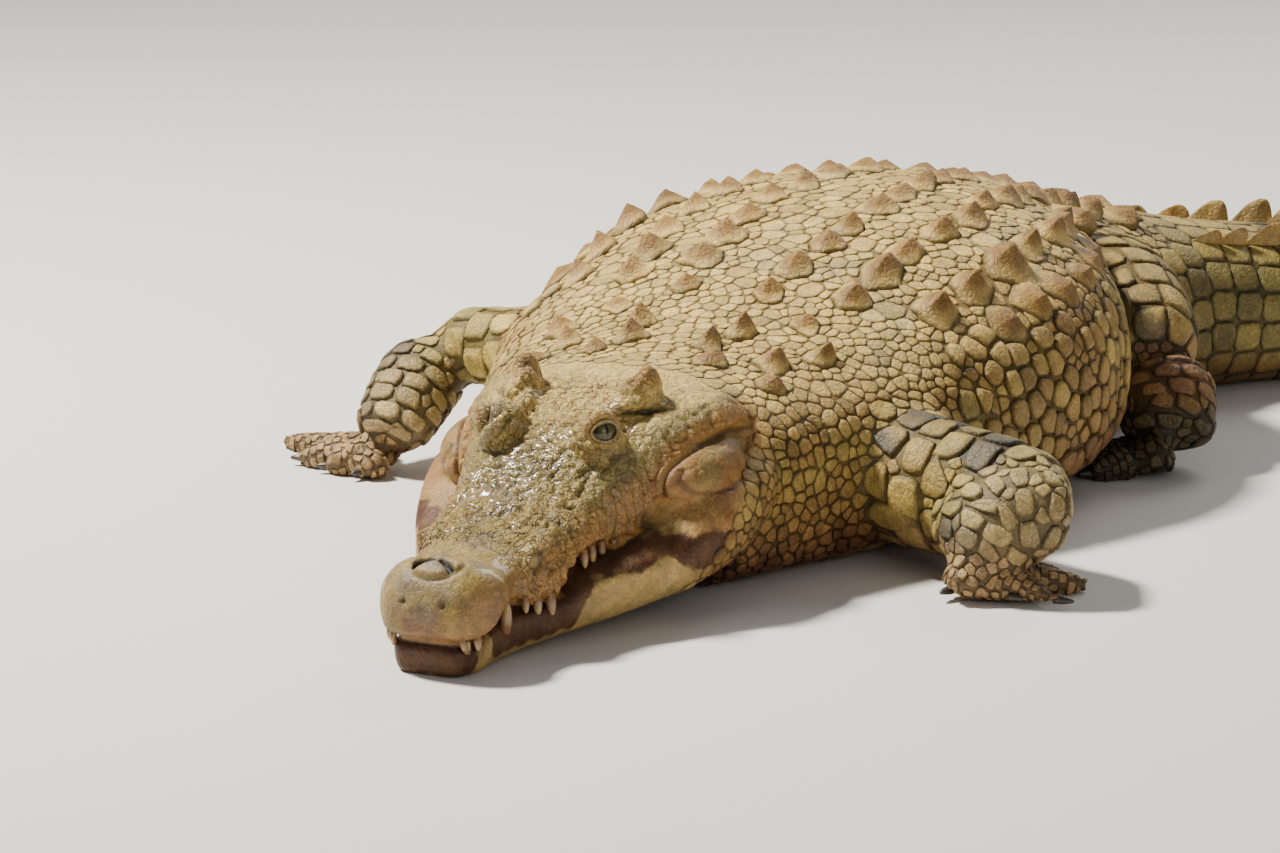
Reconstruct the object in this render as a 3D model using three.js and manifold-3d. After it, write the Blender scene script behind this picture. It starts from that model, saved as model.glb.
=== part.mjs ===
// A life-size still model of a large adult Nile crocodile lying at rest on flat ground.
// Millimetres, +Z up. The origin is on the ground under the middle of the trunk. The head points along -Y,
// and the animal's own left side is +X. The body bends towards +X from the shoulders to the tail.
import * as THREE from "three";
import { mergeVertices } from "three/addons/utils/BufferGeometryUtils.js";
import Module from "manifold-3d";

const wasm = await Module();
wasm.setup();

// ---------- Driving dimensions ----------
const LENGTH = 4200; // snout tip to tail tip, along the spine
const ORIGIN_STATION = 1400; // the spine station over the origin
const HEAD_PITCH = THREE.MathUtils.degToRad(4.4); // nose down, about the chin
const CHIN = 30; // distance of the chin's contact from the snout tip
const GAP = 0.35; // clearance between neighbouring solids

// Spine heading in degrees from +Y towards +X, by station along the spine.
const HEADING = [
  [0, 0], [600, 0], [900, 1], [1200, 4], [1500, 7], [1750, 14],
  [1950, 27], [2150, 42], [2450, 56], [3000, 64], [4200, 30],
];
// Body sections: station, half width, top height, height of the widest level, squareness under that level.
const BODY = [
  [520, 202, 262, 128, 3.6], [600, 244, 288, 140, 4.2], [700, 282, 296, 146, 4.6], [800, 330, 306, 148, 5],
  [950, 392, 345, 152, 5], [1100, 427, 386, 168, 4.6], [1250, 448, 415, 182, 4], [1400, 425, 424, 188, 3.5],
  [1550, 352, 412, 186, 3.3], [1700, 276, 378, 176, 3.2], [1850, 232, 338, 165, 3.1], [2000, 208, 298, 150, 3],
  [2200, 176, 256, 128, 3], [2600, 136, 214, 108, 2.8], [3000, 104, 176, 90, 2.6], [3500, 66, 128, 66, 2.4],
  [4000, 30, 70, 36, 2.2], [4200, 12, 30, 15, 2],
];
const BODY_UPPER_POWER = 2.2;
const BELLY_SINK = 6; // how far the round section is cut by the ground

// Head sections in the head's own frame: distance from the tip, half width at the lip, top height, lip height.
const SKULL = [
  [-2, 22, 88, 62], [8, 55, 112, 50], [26, 73, 134, 45], [50, 84, 146, 52], [78, 86, 142, 72],
  [105, 77, 136, 76], [135, 78, 136, 66], [170, 92, 140, 58], [200, 101, 146, 58], [228, 105, 152, 84],
  [262, 106, 162, 96], [300, 110, 176, 94], [340, 120, 198, 86], [375, 132, 216, 90], [415, 145, 228, 116],
  [450, 158, 236, 150], [500, 172, 244, 168], [560, 184, 248, 172], [610, 178, 250, 150], [640, 160, 250, 140],
];
const SKULL_POWER = 2.5;
// Lower jaw sections: distance from the tip, half width, underside height, rim height.
const JAW = [
  [6, 34, 8, 40, 5], [16, 50, 0, 44, 5], [40, 64, 0, 42, 5], [75, 70, 0, 56, 5], [120, 78, 0, 60, 5],
  [180, 102, 0, 58, 5], [240, 136, 0, 76, 5], [300, 170, 0, 90, 4.6], [345, 194, 0, 98, 3.8], [380, 212, 0, 112, 3],
  [430, 230, 0, 146, 2.5], [500, 242, 2, 170, 2.5], [560, 244, 30, 172, 2.6], [605, 240, 60, 150, 3],
  [636, 224, 80, 132, 3],
];
const CHIN_SINK = 9; // how far the round section is cut by the ground
const JAW_LOWER_POWER = 2.9;
const JAW_CORE_INSET = 16; // how far the closed mouth's wall lies inside the lips

// Left and right eyes: distance from the tip, half spacing, centre height, radius.
const EYE = { u: 372, v: 78, z: 228, r: 22 };
// Round swellings of the skull, left and right: distance from the tip, offset, height, and three half sizes.
const SKULL_BUMPS = [
  [382, 70, 214, 42, 34, 40], // the lid mound that carries the eye
  [484, 88, 246, 44, 19, 40], // the raised rear corner of the skull table
  [440, 74, 234, 50, 17, 26], // the ridge between them
  [196, 72, 118, 38, 26, 26], // the swelling over the largest upper tooth
];
const JOWL = [500, 166, 128, 96, 62, 54]; // the muscle behind the mouth's corner, on the jaw
const NOSE_DISC = { u: 52, z: 138, half: [26, 31, 15] }; // raised pad that carries the nostrils

// Teeth: distance from the tip, half spacing, root height, length, root radius. Positive length points up.
const UPPER_TEETH = [
  [18, 50, 50, -16, 5], [34, 62, 50, -18, 6], [142, 76, 68, -22, 6], [160, 84, 64, -26, 7],
  [182, 92, 60, -30, 8], [262, 103, 96, -20, 6], [282, 105, 96, -22, 6], [304, 108, 95, -22, 6],
  [328, 114, 90, -20, 6], [350, 121, 88, -18, 6],
];
const LOWER_TEETH = [[96, 71, 50, 32, 8], [24, 52, 38, 14, 5]];

// Limb joints: x, y, z in the head-aligned frame whose origin is the ground under the snout tip,
// then half thickness across and half thickness in height.
const LIMBS = {
  left_fore: {
    upper: [[250, 880, 138, 92, 92], [340, 818, 118, 92, 96], [430, 788, 112, 84, 90], [510, 770, 112, 74, 78],
      [562, 742, 110, 64, 66]],
    lower: [[578, 756, 104, 64, 62], [544, 726, 112, 84, 70], [494, 698, 94, 84, 66], [466, 662, 48, 76, 46]],
    palm: [[468, 664, 40, 70, 36], [496, 660, 28, 62, 25], [520, 658, 20, 54, 18]],
    digits: [
      [[470, 664, 28], [466, 648, 24], [462, 634, 15]],
      [[500, 660, 28], [526, 650, 22], [552, 642, 15]],
      [[516, 672, 27], [566, 664, 21], [616, 660, 13]],
      [[516, 694, 25], [566, 722, 18], [612, 758, 11]],
      [[500, 704, 24], [536, 752, 17], [564, 796, 10]],
    ],
  },
  right_fore: {
    upper: [[-230, 1030, 185, 74, 70], [-310, 1042, 188, 76, 70], [-390, 1060, 186, 66, 62], [-474, 1084, 178, 60, 58],
      [-536, 1098, 162, 56, 54]],
    lower: [[-546, 1094, 148, 58, 56], [-552, 1040, 128, 68, 62], [-556, 986, 92, 66, 54], [-562, 946, 50, 58, 42]],
    palm: [[-568, 950, 40, 54, 34], [-602, 960, 27, 54, 24], [-634, 978, 19, 50, 17]],
    digits: [
      [[-570, 934, 27], [-576, 916, 22], [-582, 900, 14]],
      [[-602, 940, 27], [-624, 928, 21], [-646, 916, 13]],
      [[-630, 964, 26], [-668, 954, 20], [-706, 944, 13]],
      [[-612, 996, 26], [-700, 1016, 18], [-786, 1038, 11]],
      [[-600, 1000, 25], [-654, 1056, 17], [-700, 1102, 10]],
    ],
  },
  left_hind: {
    upper: [[150, 1800, 196, 104, 100], [230, 1746, 214, 104, 104], [320, 1676, 206, 98, 100], [396, 1590, 178, 84, 90],
      [440, 1524, 140, 70, 78]],
    lower: [[444, 1530, 132, 78, 76], [462, 1508, 106, 77, 72], [476, 1486, 76, 74, 66], [482, 1464, 50, 72, 50]],
    palm: [[488, 1460, 42, 66, 38], [464, 1450, 31, 68, 28], [430, 1440, 21, 64, 19]],
    digits: [
      [[452, 1410, 26], [424, 1382, 21], [400, 1356, 13]],
      [[434, 1418, 26], [388, 1396, 21], [350, 1376, 13]],
      [[424, 1442, 25], [374, 1434, 20], [332, 1426, 12]],
      [[430, 1470, 24], [388, 1480, 18], [352, 1490, 11]],
    ],
  },
  right_hind: {
    upper: [[-40, 1830, 190, 104, 100], [-140, 1830, 200, 106, 100], [-240, 1816, 190, 98, 94], [-330, 1780, 170, 82, 84],
      [-384, 1746, 146, 70, 76]],
    lower: [[-390, 1750, 134, 72, 70], [-410, 1794, 112, 68, 64], [-426, 1836, 84, 62, 56], [-438, 1864, 50, 54, 42]],
    palm: [[-442, 1850, 40, 52, 36], [-450, 1790, 30, 60, 28], [-464, 1740, 21, 64, 19]],
    digits: [
      [[-430, 1772, 25], [-412, 1706, 20], [-398, 1652, 12]],
      [[-448, 1756, 26], [-444, 1674, 20], [-438, 1606, 12]],
      [[-472, 1756, 26], [-486, 1676, 20], [-498, 1606, 12]],
      [[-494, 1766, 24], [-532, 1704, 18], [-564, 1652, 11]],
    ],
  },
};
const LIMB_NODES = {
  fore: ["upper_arm", "forearm", "hand"],
  hind: ["thigh", "shank", "foot"],
};
const CLAW = { length: 26, radius: 7, count: 3 }; // only the first three digits of each foot carry claws

// Keeled scutes of the back: rows left and right of the midline as angles from the top, over these stations.
const KEEL_ROWS = [
  { angle: 9, from: 930, to: 2040, height: 17 },
  { angle: 27, from: 970, to: 1900, height: 20 },
  { angle: 44, from: 1040, to: 1600, height: 20 },
];
const KEEL_STEP = 150;
const KEEL_BASE = 24;
const NUCHAL = [[735, 13, 26], [735, 34, 22], [800, 15, 26], [800, 40, 20], [680, 20, 15], [680, 44, 13]];
// Tail crest: a double row that meets and goes on as a single row.
const CREST = { from: 2140, join: 3020, to: 4120, step: 84, height: 62, thick: 9, lean: 16 };

const SKIN = {
  back: 0xb9a878, flank: 0xa39262, head: 0xa99b76, jaw: 0xb59a72, limb: 0xb0a372, tail: 0x9a8f5f,
  eye: 0x6b6a3a,
};

// ---------- Curves and sections ----------
// Smooth interpolation through a table's rows without overshoot, for column c at x.
function along(table, c, x) {
  const n = table.length;
  if (x <= table[0][0]) return table[0][c];
  if (x >= table[n - 1][0]) return table[n - 1][c];
  let i = 0;
  while (table[i + 1][0] < x) i++;
  const step = (k) => table[k + 1][0] - table[k][0];
  const rise = (k) => (table[k + 1][c] - table[k][c]) / step(k);
  const slope = (k) => {
    if (k === 0) return rise(0);
    if (k === n - 1) return rise(n - 2);
    const a = rise(k - 1);
    const b = rise(k);
    if (a * b <= 0) return 0;
    const w1 = 2 * step(k) + step(k - 1);
    const w2 = step(k) + 2 * step(k - 1);
    return (w1 + w2) / (w1 / a + w2 / b);
  };
  const h = step(i);
  const t = (x - table[i][0]) / h;
  return (
    (1 + 2 * t) * (1 - t) ** 2 * table[i][c] +
    t * (1 - t) ** 2 * h * slope(i) +
    t * t * (3 - 2 * t) * table[i + 1][c] +
    t * t * (t - 1) * h * slope(i + 1)
  );
}

// The spine in plan: its point and heading at each millimetre step.
const SPINE_STEP = 10;
const spine = [];
{
  let x = 0;
  let y = 0;
  for (let s = 0; s <= LENGTH; s += SPINE_STEP) {
    const heading = THREE.MathUtils.degToRad(along(HEADING, 1, s));
    spine.push([x, y, heading]);
    x += Math.sin(heading) * SPINE_STEP;
    y += Math.cos(heading) * SPINE_STEP;
  }
}
function spineAt(s) {
  const k = Math.min(Math.max(s / SPINE_STEP, 0), spine.length - 1.001);
  const i = Math.floor(k);
  return [0, 1, 2].map((c) => spine[i][c] + (spine[i + 1][c] - spine[i][c]) * (k - i));
}
const [originX, originY] = spineAt(ORIGIN_STATION);

// From the head-aligned frame to the part's frame.
const place = (x, y, z) => new THREE.Vector3(x - originX, y - originY, z);
// From the head's own frame (u back, v to the left, z up) to the part's frame.
function headPoint(u, v, z) {
  const [c, s] = [Math.cos(HEAD_PITCH), Math.sin(HEAD_PITCH)];
  return place(v, CHIN + (u - CHIN) * c - z * s, (u - CHIN) * s + z * c);
}
const signedPower = (x, p) => Math.sign(x) * Math.abs(x) ** p;

// A point of the body's surface: station, angle from the top (left side positive), and an outward offset.
function bodyPoint(s, angle, out = 0) {
  const [x, y, heading] = spineAt(s);
  const half = along(BODY, 1, s) + out;
  const top = along(BODY, 2, s) + out;
  const mid = along(BODY, 3, s);
  const c = Math.cos(angle);
  const power = 2 / (c >= 0 ? BODY_UPPER_POWER : along(BODY, 4, s));
  const across = half * signedPower(Math.sin(angle), power);
  const height = c >= 0 ? (top - mid) * c ** power : -(mid + BELLY_SINK + out) * (-c) ** power;
  return place(x + across * Math.cos(heading), y - across * Math.sin(heading), Math.max(mid + height, -out));
}

// ---------- Solids ----------
// A closed solid from rings of points, each ring turning the same way, with a fan over each end.
function loft(rings) {
  const n = rings[0].length;
  const positions = [];
  const index = [];
  const middle = (ring) => ring.reduce((sum, p) => sum.add(p), new THREE.Vector3()).divideScalar(n);
  rings.flat().forEach((p) => positions.push(p.x, p.y, p.z));
  const first = positions.length / 3;
  [middle(rings[0]), middle(rings[rings.length - 1])].forEach((p) => positions.push(p.x, p.y, p.z));
  for (let k = 0; k < rings.length - 1; k++) {
    for (let i = 0; i < n; i++) {
      const a = k * n + i;
      const b = k * n + ((i + 1) % n);
      index.push(a, a + n, b, b, a + n, b + n);
    }
  }
  const last = (rings.length - 1) * n;
  for (let i = 0; i < n; i++) {
    const j = (i + 1) % n;
    index.push(first, i, j, first + 1, last + j, last + i);
  }
  return solid(positions, index);
}

// A manifold solid from a flat list of coordinates and triangles, turned to face out.
function solid(positions, index) {
  const geometry = new THREE.BufferGeometry();
  geometry.setAttribute("position", new THREE.Float32BufferAttribute(positions, 3));
  geometry.setIndex(index);
  const merged = mergeVertices(geometry, 1e-3);
  const triangles = [];
  const source = merged.index.array;
  for (let i = 0; i < source.length; i += 3) {
    const [a, b, c] = [source[i], source[i + 1], source[i + 2]];
    if (a !== b && b !== c && c !== a) triangles.push(a, b, c);
  }
  const build = (list) =>
    new wasm.Manifold(
      new wasm.Mesh({
        numProp: 3,
        vertProperties: new Float32Array(merged.attributes.position.array),
        triVerts: new Uint32Array(list),
      }),
    );
  const made = build(triangles);
  if (made.volume() > 0) return made;
  const turned = [];
  for (let i = 0; i < triangles.length; i += 3) turned.push(triangles[i], triangles[i + 2], triangles[i + 1]);
  return build(turned);
}

const joined = (solids) => solids.reduce((a, b) => a.add(b));
const stations = (from, to, step) => {
  const count = Math.max(1, Math.round((to - from) / step));
  return Array.from({ length: count + 1 }, (_, i) => from + ((to - from) * i) / count);
};

const BODY_SIDES = 18;
function bodyLength(from, to, step, out = 0) {
  return loft(
    stations(from, to, step).map((s) =>
      Array.from({ length: BODY_SIDES }, (_, i) => bodyPoint(s, ((i + 0.5) / BODY_SIDES) * 2 * Math.PI, out)),
    ),
  );
}

// An ellipsoid in the head's own frame.
function headBump(u, v, z, hu, hv, hz, rings = 4, sides = 7) {
  return loft(
    Array.from({ length: rings }, (_, k) => {
      const t = ((k + 0.5) / rings) * Math.PI;
      return Array.from({ length: sides }, (_, i) => {
        const a = (i / sides) * 2 * Math.PI;
        const r = Math.sin(t);
        return headPoint(u - hu * Math.cos(t), v + hv * r * Math.cos(a), z + hz * r * Math.sin(a));
      });
    }),
  );
}

// The skull and snout over the lip line: a rounded top over a nearly flat palate.
function skullShell(out = 0) {
  const sides = 13;
  const ring = ([u, half, top, lip]) =>
    Array.from({ length: sides }, (_, i) => {
      const a = ((i + 0.5) / sides) * 2 * Math.PI;
      const c = Math.cos(a);
      const across = half * signedPower(Math.sin(a), 2 / SKULL_POWER);
      const mid = lip + 0.3 * (top - lip);
      const height = c >= 0 ? (top - mid) * c ** (2 / SKULL_POWER) : -(mid - lip) * (-c) ** 0.4;
      return headPoint(u, across, mid + height);
    });
  const dense = stations(SKULL[0][0] - out, SKULL[SKULL.length - 1][0], 60);
  return loft(
    dense.map((u) => ring([u, along(SKULL, 1, u) + out, along(SKULL, 2, u) + out, along(SKULL, 3, u) - out])),
  );
}

// The lower jaw up to its rim, lifted by a gap under the skull.
function jawShell() {
  const sides = 13;
  const ring = (u) => {
    const [half, low, rim] = [1, 2, 3].map((c) => along(JAW, c, u));
    const mid = low + 0.62 * (rim - low);
    return Array.from({ length: sides }, (_, i) => {
      const a = ((i + 0.5) / sides) * 2 * Math.PI;
      const c = Math.cos(a);
      const power = 2 / (c >= 0 ? along(JAW, 4, u) : JAW_LOWER_POWER);
      const across = half * signedPower(Math.sin(a), power);
      const height = c >= 0 ? (rim - mid) * c ** power : -(mid + CHIN_SINK - low) * (-c) ** power;
      const p = headPoint(u, across, mid + height);
      p.z = Math.max(p.z, 0);
      return p;
    });
  };
  return loft(stations(JAW[0][0], JAW[JAW.length - 1][0], 80).map(ring));
}

// The wall of the closed mouth, inside the lips, which the palate rests on.
function mouthCore() {
  const sides = 8;
  const ring = (u) => {
    const half = Math.min(along(JAW, 1, u), along(SKULL, 1, u)) - JAW_CORE_INSET;
    const low = along(JAW, 2, u) + 14;
    const high = along(SKULL, 3, u) + 14;
    return Array.from({ length: sides }, (_, i) => {
      const a = ((i + 0.5) / sides) * 2 * Math.PI;
      return headPoint(
        u,
        half * signedPower(Math.sin(a), 0.5),
        (low + high) / 2 + ((high - low) / 2) * signedPower(Math.cos(a), 0.5),
      );
    });
  };
  return loft(stations(30, 620, 150).map(ring));
}

// A cone in the head's own frame, for a tooth on one side.
function tooth([u, v, z, length, radius], side, out = 0) {
  const sides = 4;
  const ring = (t, r) =>
    Array.from({ length: sides }, (_, i) => {
      const a = (i / sides) * 2 * Math.PI;
      return headPoint(
        u + (r + out) * Math.cos(a),
        side * v + (r + out) * Math.sin(a),
        z + (length + out * Math.sign(length)) * t,
      );
    });
  return loft([ring(-0.35, radius), ring(1, radius * 0.18)]);
}

// A tube along points of [x, y, z, half across, half height], flattened where it meets the ground.
// Its ends are rounded; out grows it on every side.
function limbTube(points, out = 0, sides = 7, fine = true) {
  const curve = (c) => (t) => along(points.map((p, i) => [i, p[c]]), 1, t);
  const [x, y, z, across, high] = [0, 1, 2, 3, 4].map(curve);
  const last = points.length - 1;
  const steps = fine ? [0, 0.18, ...stations(0.6, last - 0.6, 0.9), last - 0.18, last] : [0, 0.5, 1.4, last];
  const round = (t) => {
    const edge = Math.min(t, last - t);
    return edge >= 0.5 ? 1 : 0.62 + 0.38 * Math.sin((edge / 0.5) * (Math.PI / 2));
  };
  return loft(
    steps.map((t, k) => {
      const e = 0.01;
      const tangent = new THREE.Vector3(x(t + e) - x(t - e), y(t + e) - y(t - e), z(t + e) - z(t - e)).normalize();
      const side = new THREE.Vector3().crossVectors(tangent, new THREE.Vector3(0, 0, 1)).normalize();
      const up = new THREE.Vector3().crossVectors(side, tangent).normalize();
      const centre = place(x(t), y(t), z(t));
      if (k === 0) centre.addScaledVector(tangent, -out);
      if (k === steps.length - 1) centre.addScaledVector(tangent, out);
      return Array.from({ length: sides }, (_, i) => {
        const a = ((i + 0.5) / sides) * 2 * Math.PI;
        const p = centre
          .clone()
          .addScaledVector(side, (across(t) * round(t) + out) * Math.sin(a))
          .addScaledVector(up, (high(t) * round(t) + out) * Math.cos(a));
        p.z = Math.max(p.z, -out);
        return p;
      });
    }),
  );
}

// A digit from knuckle to tip with a claw if it carries one.
function digit(points, clawed) {
  const tube = limbTube(points.map(([x, y, r]) => [x, y, r * 0.85, r * 0.95, r * 0.9]), 0, 5, false);
  if (!clawed) return tube;
  const [a, b] = [points[1], points[2]];
  const direction = new THREE.Vector3(b[0] - a[0], b[1] - a[1], 0).normalize();
  const side = new THREE.Vector3(-direction.y, direction.x, 0);
  const ring = (t) =>
    Array.from({ length: 4 }, (_, i) => {
      const angle = (i / 4) * 2 * Math.PI;
      const radius = CLAW.radius * (1 - 0.8 * t);
      const middle = place(b[0], b[1], b[2] * 0.9 + 2 - 3 * t).addScaledVector(direction, CLAW.length * (t - 0.35));
      const p = middle.addScaledVector(side, radius * Math.sin(angle));
      p.z = Math.max(p.z + radius * Math.cos(angle), 0);
      return p;
    });
  return tube.add(loft([ring(0), ring(1)]));
}

// A keeled scute: a low pyramid on the body with its peak to the rear.
function keel(s, angle, height, base = KEEL_BASE) {
  const around = base / Math.max(along(BODY, 1, s), 60);
  const foot = -8;
  const ring = [
    bodyPoint(s - base * 1.25, angle, foot), bodyPoint(s, angle + around, foot),
    bodyPoint(s + base * 1.1, angle, foot), bodyPoint(s, angle - around, foot),
  ];
  const peak = bodyPoint(s + base * 0.35, angle, height);
  const positions = [...ring, peak].flatMap((p) => [p.x, p.y, p.z]);
  return solid(positions, [0, 1, 4, 1, 2, 4, 2, 3, 4, 3, 0, 4, 0, 3, 2, 0, 2, 1]);
}

// One upright blade of the tail crest: a flat triangle leaning back, thicker at its foot.
function crestBlade(s, angle, height, thick) {
  const top = (ds, out, a) => bodyPoint(Math.min(s + ds, LENGTH - 4), a, out);
  const half = thick / Math.max(along(BODY, 2, s) - along(BODY, 3, s), 40);
  const span = CREST.step * 0.52;
  const foot = -10;
  const ring = [
    top(-span, foot, angle), top(0, foot, angle + half), top(span, foot, angle), top(0, foot, angle - half),
  ];
  const tipA = top(span * 0.35, height, angle + half * 0.15);
  const tipB = top(span * 0.75, height * 0.93, angle - half * 0.15);
  const positions = [...ring, tipA, tipB].flatMap((p) => [p.x, p.y, p.z]);
  return solid(positions, [0, 1, 4, 1, 2, 5, 1, 5, 4, 2, 3, 5, 3, 4, 5, 3, 0, 4, 0, 3, 2, 0, 2, 1]);
}

const keels = [];
KEEL_ROWS.forEach(({ angle, from, to, height }) => {
  stations(from, to, KEEL_STEP).forEach((s) => {
    [1, -1].forEach((side) => keels.push({ s, angle: side * THREE.MathUtils.degToRad(angle), height }));
  });
});
NUCHAL.forEach(([s, angle, height]) => {
  [1, -1].forEach((side) => keels.push({ s, angle: side * THREE.MathUtils.degToRad(angle), height }));
});
const blades = [];
stations(CREST.from, CREST.to, CREST.step).forEach((s) => {
  const single = s > CREST.join;
  const grow = Math.min(1, 0.35 + (s - CREST.from) / 500);
  const shrink = single ? 1 - 0.62 * ((s - CREST.join) / (CREST.to - CREST.join)) : 1;
  const height = CREST.height * grow * shrink;
  const spread = single ? 0 : 0.62 * (1 - 0.78 * ((s - CREST.from) / (CREST.join - CREST.from)));
  (single ? [0] : [spread, -spread]).forEach((angle) => blades.push({ s, angle, height }));
});

// A length of the body with the scutes and blades that stand wholly on it.
function dressedLength(from, to, step) {
  const reach = 34;
  const parts = [bodyLength(from, to, step)];
  keels
    .filter((k) => k.s > from + reach && k.s < to - reach)
    .forEach((k) => parts.push(keel(k.s, k.angle, k.height)));
  blades
    .filter((b) => b.s > from + reach && b.s < to - reach)
    .forEach((b) => parts.push(crestBlade(b.s, b.angle, b.height, CREST.thick)));
  return joined(parts);
}

// ---------- Assembly ----------
const crocodile = new THREE.Group();
crocodile.name = "crocodile";
const parts = new Map();

function add(name, made, colour) {
  const mesh = made.getMesh();
  const geometry = new THREE.BufferGeometry();
  const positions = new Float32Array(mesh.numVert * 3);
  for (let i = 0; i < mesh.numVert; i++) {
    positions.set(mesh.vertProperties.subarray(i * mesh.numProp, i * mesh.numProp + 3), i * 3);
  }
  geometry.setAttribute("position", new THREE.BufferAttribute(positions, 3));
  geometry.setIndex(new THREE.BufferAttribute(new Uint32Array(mesh.triVerts), 1));
  geometry.computeVertexNormals();
  const material = new THREE.MeshStandardMaterial({ color: colour, roughness: 0.75, metalness: 0 });
  const object = new THREE.Mesh(geometry, material);
  object.name = name;
  crocodile.add(object);
  parts.set(name, made);
}

// The largest single body of a solid, which drops slivers that a cut leaves.
function largest(made) {
  const bodies = made.decompose();
  return bodies.reduce((a, b) => (b.volume() > a.volume() ? b : a));
}

const NECK = [610, 950];
const TRUNK = [950, 2050];
const TAIL_CUTS = [2050, 2730, 3430, LENGTH];
const [NECK_STEP, TRUNK_STEP, TAIL_STEP] = [68, 96, 130]; // spacing of the sections
const trunk = dressedLength(TRUNK[0] + GAP, TRUNK[1], TRUNK_STEP);
const neck = dressedLength(NECK[0], NECK[1], NECK_STEP);

// Head: the skull with its swellings, eye sockets and upper teeth, over the jaw with the lower teeth.
const eyeBall = (side, out = 0) =>
  headBump(EYE.u, side * EYE.v, EYE.z, EYE.r + out, EYE.r + out, EYE.r + out, 6, 7);
function upperHead(out = 0) {
  const bumps = SKULL_BUMPS.flatMap(([u, v, z, hu, hv, hz]) =>
    [1, -1].map((side) => headBump(u, side * v, z, hu + out, hv + out, hz + out)));
  const nose = headBump(NOSE_DISC.u, 0, NOSE_DISC.z, ...NOSE_DISC.half.map((h) => h + out));
  const teeth = UPPER_TEETH.flatMap((t) => [1, -1].map((side) => tooth(t, side, out)));
  return joined([skullShell(out), ...bumps, nose, ...teeth]);
}
const neckClear = bodyLength(NECK[0] - GAP, NECK[1] + GAP, NECK_STEP, GAP);
const jowl = (side) => headBump(JOWL[0], side * JOWL[1], ...JOWL.slice(2));
const lowerTeeth = joined(LOWER_TEETH.flatMap((t) => [1, -1].map((side) => tooth(t, side))));
const head = largest(
  upperHead().subtract(eyeBall(1, GAP)).subtract(eyeBall(-1, GAP)).subtract(neckClear),
);
const jaw = largest(
  joined([jawShell(), mouthCore(), jowl(1), jowl(-1), lowerTeeth]).subtract(upperHead(GAP)).subtract(neckClear),
);
add("head", head, SKIN.head);
add("lower_jaw", jaw, SKIN.jaw);
add("eye_left", eyeBall(1), SKIN.eye);
add("eye_right", eyeBall(-1), SKIN.eye);
add("neck", neck, SKIN.flank);
add("trunk", trunk, SKIN.back);

TAIL_CUTS.slice(0, -1).forEach((from, i) => {
  const names = ["tail_base", "tail_middle", "tail_end"];
  add(names[i], dressedLength(from + GAP, TAIL_CUTS[i + 1], TAIL_STEP), SKIN.tail);
});

// Legs: each length is cut clear of the one it grows from, and of the body.
const bodyClear = joined([
  neckClear,
  bodyLength(TRUNK[0] - GAP, TRUNK[1] + GAP, TRUNK_STEP, GAP),
  bodyLength(TAIL_CUTS[0] - GAP, TAIL_CUTS[1] + GAP, TAIL_STEP, GAP),
]);
Object.entries(LIMBS).forEach(([key, limb]) => {
  const [side, kind] = key.split("_");
  const [upperName, lowerName, footName] = LIMB_NODES[kind].map((n) => n + "_" + side);
  const upper = limbTube(limb.upper);
  const lower = limbTube(limb.lower);
  const foot = joined([
    limbTube(limb.palm, 0, 7),
    ...limb.digits.map((d, i) => digit(d, i < CLAW.count)),
  ]);
  const upperClear = limbTube(limb.upper, 2 * GAP);
  const lowerClear = limbTube(limb.lower, 4 * GAP);
  add(upperName, largest(upper.subtract(bodyClear)), SKIN.limb);
  add(lowerName, largest(lower.subtract(upperClear).subtract(bodyClear)), SKIN.limb);
  add(footName, largest(foot.subtract(lowerClear).subtract(upperClear).subtract(bodyClear)), SKIN.limb);
});

export default crocodile;
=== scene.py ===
"""A large Nile crocodile resting on its belly: one skin over the solids, with its scales, keels, tail crest,
eyes, lids, teeth and claws made as meshes. Metres, +Z up, head towards -Y, its own left side +X."""
import math
import bpy
import numpy as np
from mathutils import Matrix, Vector
from mathutils.bvhtree import BVHTree
from mathutils.kdtree import KDTree


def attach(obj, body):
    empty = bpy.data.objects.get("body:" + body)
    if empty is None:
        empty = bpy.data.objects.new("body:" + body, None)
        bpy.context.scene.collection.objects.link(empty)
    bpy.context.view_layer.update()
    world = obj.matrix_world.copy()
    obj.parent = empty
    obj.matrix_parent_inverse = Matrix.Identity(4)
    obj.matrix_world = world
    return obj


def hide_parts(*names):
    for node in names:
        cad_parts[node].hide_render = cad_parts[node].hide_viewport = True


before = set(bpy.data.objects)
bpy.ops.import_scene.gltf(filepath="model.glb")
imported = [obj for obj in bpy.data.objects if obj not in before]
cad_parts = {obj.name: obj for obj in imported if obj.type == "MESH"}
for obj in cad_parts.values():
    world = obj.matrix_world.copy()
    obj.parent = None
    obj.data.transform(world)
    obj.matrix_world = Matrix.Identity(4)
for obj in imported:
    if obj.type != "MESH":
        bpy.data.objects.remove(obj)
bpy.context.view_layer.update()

RNG = np.random.default_rng(41)

# ---------- Sizes ----------
LENGTH = 4.2
ORIGIN_STATION = 1.4
HEAD_PITCH = math.radians(4.4)
CHIN = 0.03
COAT = 0.005  # depth of the scales over the skin
VOXEL = 0.0052
GROUND = 0.0008  # the skin's least height over the floor
BODY_START = 0.53  # first station of the body's own surface
HEAD_RELIEF = (0.66, 0.70)  # distances from the tip where the head's fine mesh ends and its smoothing fades
HIDE_UNWRAP = 0.24  # share of the unwrap's width to a metre of hide
SKULL_INSET = 0.003
DISC_INSET = 0.002
JOWL_INSET = 0.004
LIMB_INSET = {"upper": 0.004, "lower": 0.004, "palm": 0.002, "digit": 0.0015}

HEADING = np.array([
    [0, 0], [600, 0], [900, 1], [1200, 4], [1500, 7], [1750, 14],
    [1950, 27], [2150, 42], [2450, 56], [3000, 64], [4200, 30],
], float)
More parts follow.
